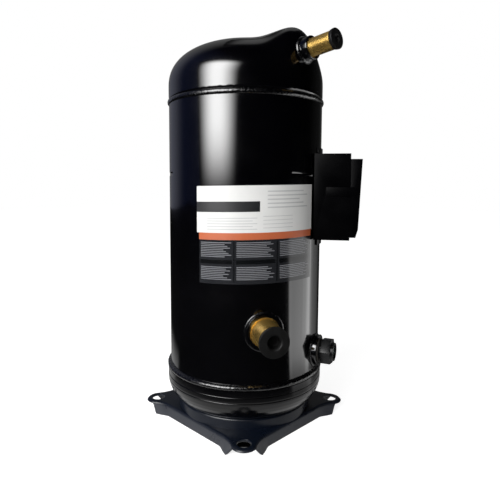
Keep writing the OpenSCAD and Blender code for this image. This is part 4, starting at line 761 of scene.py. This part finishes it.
def film(mesh, size, lift, turn_low, turn_high, z_low, z_high):
    """A thin film bent round the shell, its edges turned down into the enamel; turns from the front."""
    columns = max(2, round((turn_high - turn_low) / 2))
    climb = math.tan(math.radians(LABEL_CLIMB))
    under, over = size.shell_r - 0.05 * MM, size.shell_r + lift
    rows = []
    for radius, z in ((under, z_low), (over, z_low), (over, z_high), (under, z_high)):
        row = []
        for i in range(columns + 1):
            turn = turn_low + (turn_high - turn_low) * i / columns
            lean = math.radians(turn - LABEL_MIDDLE) * size.shell_r * climb
            row.append(around(turn + FRONT_TURN, radius, z * MM + lean))
        rows.append(ring_of(mesh, row))
    skin(mesh, rows, closed=False)
    for end in (0, -1):
        mesh.faces.new([row[end] for row in rows])


class COMPRESSOR_OT_label(bpy.types.Operator):
    """The label's films: a white panel with a dark bar, an orange strip and a ruled grey panel"""
    bl_idname = "compressor.label"
    bl_label = "Label"

    def execute(self, context):
        size = context.scene.compressor_sizes
        low, high = size.label_film, size.label_film * 1.4

        def panel(name, finish, films, lift):
            mesh = bmesh.new()
            for edges in films:
                film(mesh, size, lift, *edges)
            piece(name, mesh, finish, "housing", None, sharp=30)

        panel("label_white", "film_white", [(WHITE_LEFT, WHITE_RIGHT, STRIP_HIGH, WHITE_HIGH)], low)
        panel("label_bar", "film_dark", [(WHITE_LEFT, BAR_RIGHT, BAR_LOW, BAR_HIGH)], high)
        panel("label_strip", "film_orange", [(STRIP_LEFT, GREY_RIGHT, GREY_HIGH, STRIP_HIGH)], low)
        panel("label_grey", "film_grey", [(GREY_LEFT, GREY_RIGHT, GREY_LOW, GREY_HIGH)], low)
        # The grey panel has three columns, each with two blocks of rules of uneven length and a bar between
        rules, bars = [], []
        pitch, thick, short = 2.3, 1.1, 0.9
        for place, (left, right) in enumerate(((-31.0, -9.0), (-5.5, 20.0), (24.0, 50.0))):
            for first, count, step, shift in ((262.0, 9, 5, 3), (229.8, 8, 4, 5)):
                for k in range(count):
                    end = right - short * ((k * step + place * shift) % 7)
                    z = first - pitch * k
                    rules.append((left, end, z, z + thick))
            bars.append((left - 0.5, right + 0.5, 234.5, 240.0))
        bars += [(turn, turn + 0.7, GREY_LOW + 2.0, GREY_HIGH - 1.2) for turn in (-7.6, 21.6)]
        panel("label_rules", "film_ruled", rules, high)
        panel("label_bars", "film_black", bars, high)
        # Faint rules on the white panel: left, right, steps in length and how many, first height, pitch,
        # thickness, count
        faint = []
        for left, right, less, lengths, first, pitch, thick, count in (
                (-26.0, 8.0, 3.0, 2, 279.6, 3.6, 0.9, 5), (15.0, 48.0, 4.0, 3, 307.0, 5.2, 1.6, 5),
                (12.0, 34.0, 0.0, 1, 281.0, 5.0, 0.7, 4)):
            for k in range(count):
                z = first + pitch * k
                faint.append((left, right - less * (k % lengths), z, z + thick))
        panel("label_faint", "film_faint", faint, high)
        return {"FINISHED"}


class COMPRESSOR_OT_stage(bpy.types.Operator):
    """A white floor, a dark studio with soft boxes, and the camera"""
    bl_idname = "compressor.stage"
    bl_label = "Stage"

    def execute(self, context):
        scene = context.scene
        scene.view_settings.view_transform = "Standard"
        self.camera(scene)
        self.floor()
        self.world(scene)
        # name, turn from the front, elevation, distance, width, height, strength, feathers
        for spec in (("key_box", -39.5, 24.2, 1.7, 1.95, 1.63, 11.0, 0.9, 0.51),
                     ("top_box", 160.0, 65.0, 1.8, 1.2, 1.0, 0.2, 0.5, 0.5)):
            self.soft_box(*spec)
        return {"FINISHED"}

    def camera(self, scene):
        lens = bpy.data.cameras.new("photo_camera")
        lens.sensor_fit = "HORIZONTAL"
        lens.sensor_width = 36.0
        lens.lens = 34.12
        lens.shift_x, lens.shift_y = 0.01, -0.0326
        made = bpy.data.objects.new("photo_camera", lens)
        scene.collection.objects.link(made)
        made.matrix_world = (Matrix.Translation(CAMERA_AT)
                             @ Matrix.Rotation(math.radians(FRONT_TURN + 90), 4, "Z")
                             @ Matrix.Rotation(math.pi / 2 - CAMERA_PITCH, 4, "X")
                             @ Matrix.Rotation(CAMERA_ROLL, 4, "Z"))
        scene.camera = made

    def floor(self):
        mesh = bmesh.new()
        bmesh.ops.create_grid(mesh, x_segments=8, y_segments=8, size=6.0)
        made = placed("studio_floor", mesh)
        made.location.z = CAD_BOX[0][2]
        # White paper: matt, lit up to white for the camera, with a painted shadow under the plate where it
        # neither glows nor shows its white. Reflections show the sheet that lies under the object and out to
        # its right, dimmed near the object by a painted shadow, and the dark studio floor beyond it
        paper, tree, shader = begin("white_paper_floor", {
            "Roughness": 0.9, "Specular IOR Level": 0.0, "Emission Color": (1, 1, 1, 1)})
        path = add(tree, "LightPath")
        place = add(tree, "TexCoord").outputs["Object"]
        part = {"glossy": path.outputs["Is Glossy Ray"], "camera": path.outputs["Is Camera Ray"],
                "through": path.outputs["Is Transmission Ray"]}
        part["far"] = add(tree, "VectorMath", {"operation": "LENGTH"}, {0: place}).outputs["Value"]
        for name, turn in (("front", 0.0), ("right", 90.0), ("aslant", -24.0)):
            way = around(FRONT_TURN + turn, 1, 0)
            dot = add(tree, "VectorMath", {"operation": "DOT_PRODUCT", 1: way}, {0: place})
            part[name] = dot.outputs["Value"]
        # To the right the sheet spreads as a fan from the shell's side, brightest along its two edges
        side = [add(tree, "Math", {"operation": "SUBTRACT", 1: off}, {0: part[name]})
                for name, off in (("right", 0.077), ("front", 0.08))]
        turn = add(tree, "Math", {"operation": "ARCTAN2"}, dict(enumerate(side)))
        share = add(tree, "Math", {"operation": "DIVIDE", 1: math.pi}, {0: turn})
        part["fan"] = add(tree, "ValToRGB", {}, {0: share})
        ramp = part["fan"].color_ramp.elements
        ramp[1].color = (0, 0, 0, 1)
        for degrees, level in ((66, 0.0), (69, 0.75), (71, 0.75), (74, 0.6), (104, 0.6), (110, 0.95),
                               (115, 0.95), (119, 0.3), (126, 0.12), (150, 0.0)):
            ramp.new(degrees / 180).color = (level, level, level, 1)
        # How far out a place lies, measured square to the plate's sides and, less the feet, to its corners;
        # inside this the floor gets a painted shadow
        flat = add(tree, "SeparateXYZ", {}, {0: place})
        across = {i: add(tree, "Math", {"operation": "ABSOLUTE"}, {0: flat.outputs[i]}) for i in (0, 1)}
        both = add(tree, "Math", {"operation": "ADD"}, across)
        part["sides"] = add(tree, "Math", {"operation": "MAXIMUM"}, across)
        part["corners"] = add(tree, "Math", {"operation": "MULTIPLY_ADD", 1: math.sqrt(0.5), 2: -0.018},
                              {0: both})
        part["out"] = add(tree, "Math", {"operation": "MAXIMUM"}, {0: part["sides"], 1: part["corners"]})
        # What fades along which measure, from and to in metres, and the level at either end. Growing dims the
        # sheet near the object, a painted shadow of the object, and clear marks the painted shadow under the
        # plate
        for name, along, start, end, low, high in (
                ("growing", "far", 0.2, 0.5, 0.25, 2.2), ("left", "right", -0.4, -0.25, 0.0, 1.0),
                ("inner", "right", 0.0, -0.05, 0.0, 0.25), ("cut", "aslant", 0.085, 0.045, 0.0, 1.0),
                ("back", "front", -0.46, -0.1, 0.0, 1.0), ("round", "far", 0.27, 0.17, 0.0, 0.8),
                ("weak", "right", -0.12, 0.1, 0.5, 0.45), ("clear", "out", 0.097, 0.104, 0.0, 1.0)):
            part[name] = add(tree, "MapRange", {
                "interpolation_type": "SMOOTHSTEP", "From Min": start, "From Max": end, "To Min": low,
                "To Max": high}, {"Value": part[along]})
        # The sheet is the fan, a strip on the left and a ring under the object; then who sees it or not
        for name, how, one, two in (
                ("fan", "MULTIPLY", "growing", "fan"), ("strip", "MULTIPLY", "left", "inner"),
                ("strip", "MULTIPLY", "strip", "cut"), ("strip", "MULTIPLY", "strip", "back"),
                ("sheet", "MAXIMUM", "fan", "strip"), ("ring", "MULTIPLY", "round", "weak"),
                ("sheet", "MAXIMUM", "sheet", "ring"), ("shine", "MULTIPLY", "glossy", "sheet"),
                ("seen", "MAXIMUM", "camera", "through"), ("lit", "MULTIPLY", "seen", "clear"),
                ("level", "MAXIMUM", "lit", "shine"), ("unlit", "SUBTRACT", "glossy", "shine"),
                # Camera rays under the plate get the painted shadow: no glow and a near-black colour
                ("painted_shadow_under_plate", "SUBTRACT", "seen", "lit"), ("dark", "MAXIMUM", "unlit", "painted_shadow_under_plate")):
            part[name] = add(tree, "Math", {"operation": how}, {0: part[one], 1: part[two]})
        power = add(tree, "Math", {"operation": "MULTIPLY", 1: 0.8}, {0: part["level"]})
        tree.links.new(power.outputs[0], shader.inputs["Emission Strength"])
        # The floor's colour goes near black where reflections miss the sheet, and under the plate as a
        # painted shadow
        tone = add(tree, "Mix", {"data_type": "RGBA", 6: (0.6, 0.6, 0.6, 1), 7: (0.01, 0.01, 0.01, 1)},
                   {0: part["dark"]})
        tree.links.new(tone.outputs[2], shader.inputs["Base Color"])
        made.data.materials.append(paper)

    def world(self, scene):
        world = scene.world = bpy.data.worlds.new("studio")
        world.use_nodes = True
        tree = world.node_tree
        tree.nodes.clear()
        path = add(tree, "LightPath")
        place = add(tree, "TexCoord").outputs["Generated"]
        # A white sheet hangs behind the object to its left, and the studio's left wall is a dim blue:
        # reflections show them there, and the dark studio elsewhere
        behind, right = [add(tree, "VectorMath", {
            "operation": "DOT_PRODUCT", 1: around(FRONT_TURN + turn, 1, 0)}, {0: place}).outputs["Value"]
            for turn in (180.0, 90.0)]
        sheet = add(tree, "MapRange", {"interpolation_type": "SMOOTHSTEP", "From Min": 0.15, "From Max": 0.6,
                                       "To Max": 0.13}, {"Value": behind})
        left = add(tree, "MapRange", {"From Max": 0.6, "To Min": 1.0, "To Max": 0.1}, {"Value": right})
        wall = add(tree, "MapRange", {"From Min": -0.3, "From Max": -0.7}, {"Value": right})
        hung = add(tree, "Math", {"operation": "MULTIPLY"}, {0: sheet, 1: left})
        glossy, dim = [add(tree, "Math", {"operation": "MULTIPLY"},
                           {0: path.outputs["Is Glossy Ray"], 1: what}) for what in (hung, wall)]
        seen = add(tree, "Math", {"operation": "MAXIMUM"},
                   {0: path.outputs["Is Camera Ray"], 1: path.outputs["Is Transmission Ray"]})
        white = add(tree, "Math", {"operation": "MAXIMUM"}, {0: seen, 1: glossy})
        fill = add(tree, "Math", {"operation": "MULTIPLY", 1: 0.35}, {0: path.outputs["Is Diffuse Ray"]})
        level = add(tree, "Math", {"operation": "MAXIMUM"}, {0: white, 1: fill})
        back = add(tree, "Background", {"Color": (1, 1, 1, 1)}, {"Strength": level})
        blue = add(tree, "Background", {"Color": (*linear("#272e4c"), 1)}, {"Strength": dim})
        both = add(tree, "AddShader", {}, {0: back, 1: blue})
        add(tree, "OutputWorld", {}, {"Surface": both})

    def soft_box(self, name, turn, elevation, distance, width, height, strength, side, end):
        mesh = bmesh.new()
        bmesh.ops.create_grid(mesh, x_segments=1, y_segments=1, size=0.5)
        made = placed(name, mesh)
        aim, lift = Vector((0, 0, 0.3)), math.radians(elevation)
        away = around(turn + FRONT_TURN, math.cos(lift), math.sin(lift))
        made.matrix_world = (Matrix.Translation(aim + away * distance)
                             @ away.to_track_quat("Z", "Y").to_matrix().to_4x4()
                             @ Matrix.Diagonal((width, height, 1, 1)))
        # Fabric front of a soft box: even in the middle, fading out to its edges
        fabric = bpy.data.materials.new(name + "_fabric")
        fabric.use_nodes = True
        tree = fabric.node_tree
        tree.nodes.clear()
        place = add(tree, "TexCoord").outputs["Generated"]
        split = add(tree, "SeparateXYZ", {}, {0: place})
        fades = {}
        for i, feather in enumerate((side, end)):
            off = add(tree, "Math", {"operation": "SUBTRACT", 1: 0.5}, {0: split.outputs[i]})
            out = add(tree, "Math", {"operation": "ABSOLUTE"}, {0: off})
            fades[i] = add(tree, "MapRange", {"interpolation_type": "SMOOTHSTEP", "From Min": 0.5,
                                              "From Max": 0.49 - feather / 2}, {"Value": out})
        level = add(tree, "Math", {"operation": "MULTIPLY"}, fades)
        power = add(tree, "Math", {"operation": "MULTIPLY", 1: strength}, {0: level})
        glow = add(tree, "Emission", {}, {"Strength": power})
        add(tree, "OutputMaterial", {}, {"Surface": glow})
        made.data.materials.append(fabric)
        made.visible_camera = False
        made.visible_shadow = False


class COMPRESSOR_PT_panel(bpy.types.Panel):
    """Lists the compressor's pieces, sizes and colours"""
    bl_idname = "COMPRESSOR_PT_panel"
    bl_label = "Scroll Compressor"
    bl_space_type = "VIEW_3D"
    bl_region_type = "UI"
    bl_category = "Compressor"

    def draw(self, context):
        column = self.layout.column()
        for maker in MAKERS:
            column.operator(maker.bl_idname)
        for group in (context.scene.compressor_sizes, context.scene.compressor_colours):
            for key in group.bl_rna.properties.keys():
                if key not in ("rna_type", "name"):
                    column.prop(group, key)


MAKERS = (
    COMPRESSOR_OT_finishes, COMPRESSOR_OT_base_plate, COMPRESSOR_OT_top_cap, COMPRESSOR_OT_weld_beads,
    COMPRESSOR_OT_fittings, COMPRESSOR_OT_stub_caps, COMPRESSOR_OT_terminal_box, COMPRESSOR_OT_label,
    COMPRESSOR_OT_stage)
CLASSES = (CompressorSizes, CompressorColours, *MAKERS, COMPRESSOR_PT_panel)


def register():
    for kind in CLASSES:
        bpy.utils.register_class(kind)
    bpy.types.Scene.compressor_sizes = PointerProperty(type=CompressorSizes)
    bpy.types.Scene.compressor_colours = PointerProperty(type=CompressorColours)


def unregister():
    del bpy.types.Scene.compressor_colours
    del bpy.types.Scene.compressor_sizes
    for kind in reversed(CLASSES):
        bpy.utils.unregister_class(kind)


def main():
    register()
    bpy.ops.compressor.finishes()
    bpy.ops.compressor.base_plate()
    bpy.ops.compressor.top_cap()
    bpy.ops.compressor.weld_beads()
    bpy.ops.compressor.fittings()
    bpy.ops.compressor.stub_caps()
    bpy.ops.compressor.terminal_box()
    bpy.ops.compressor.label()
    bpy.ops.compressor.stage()


if __name__ == "__main__":
    main()
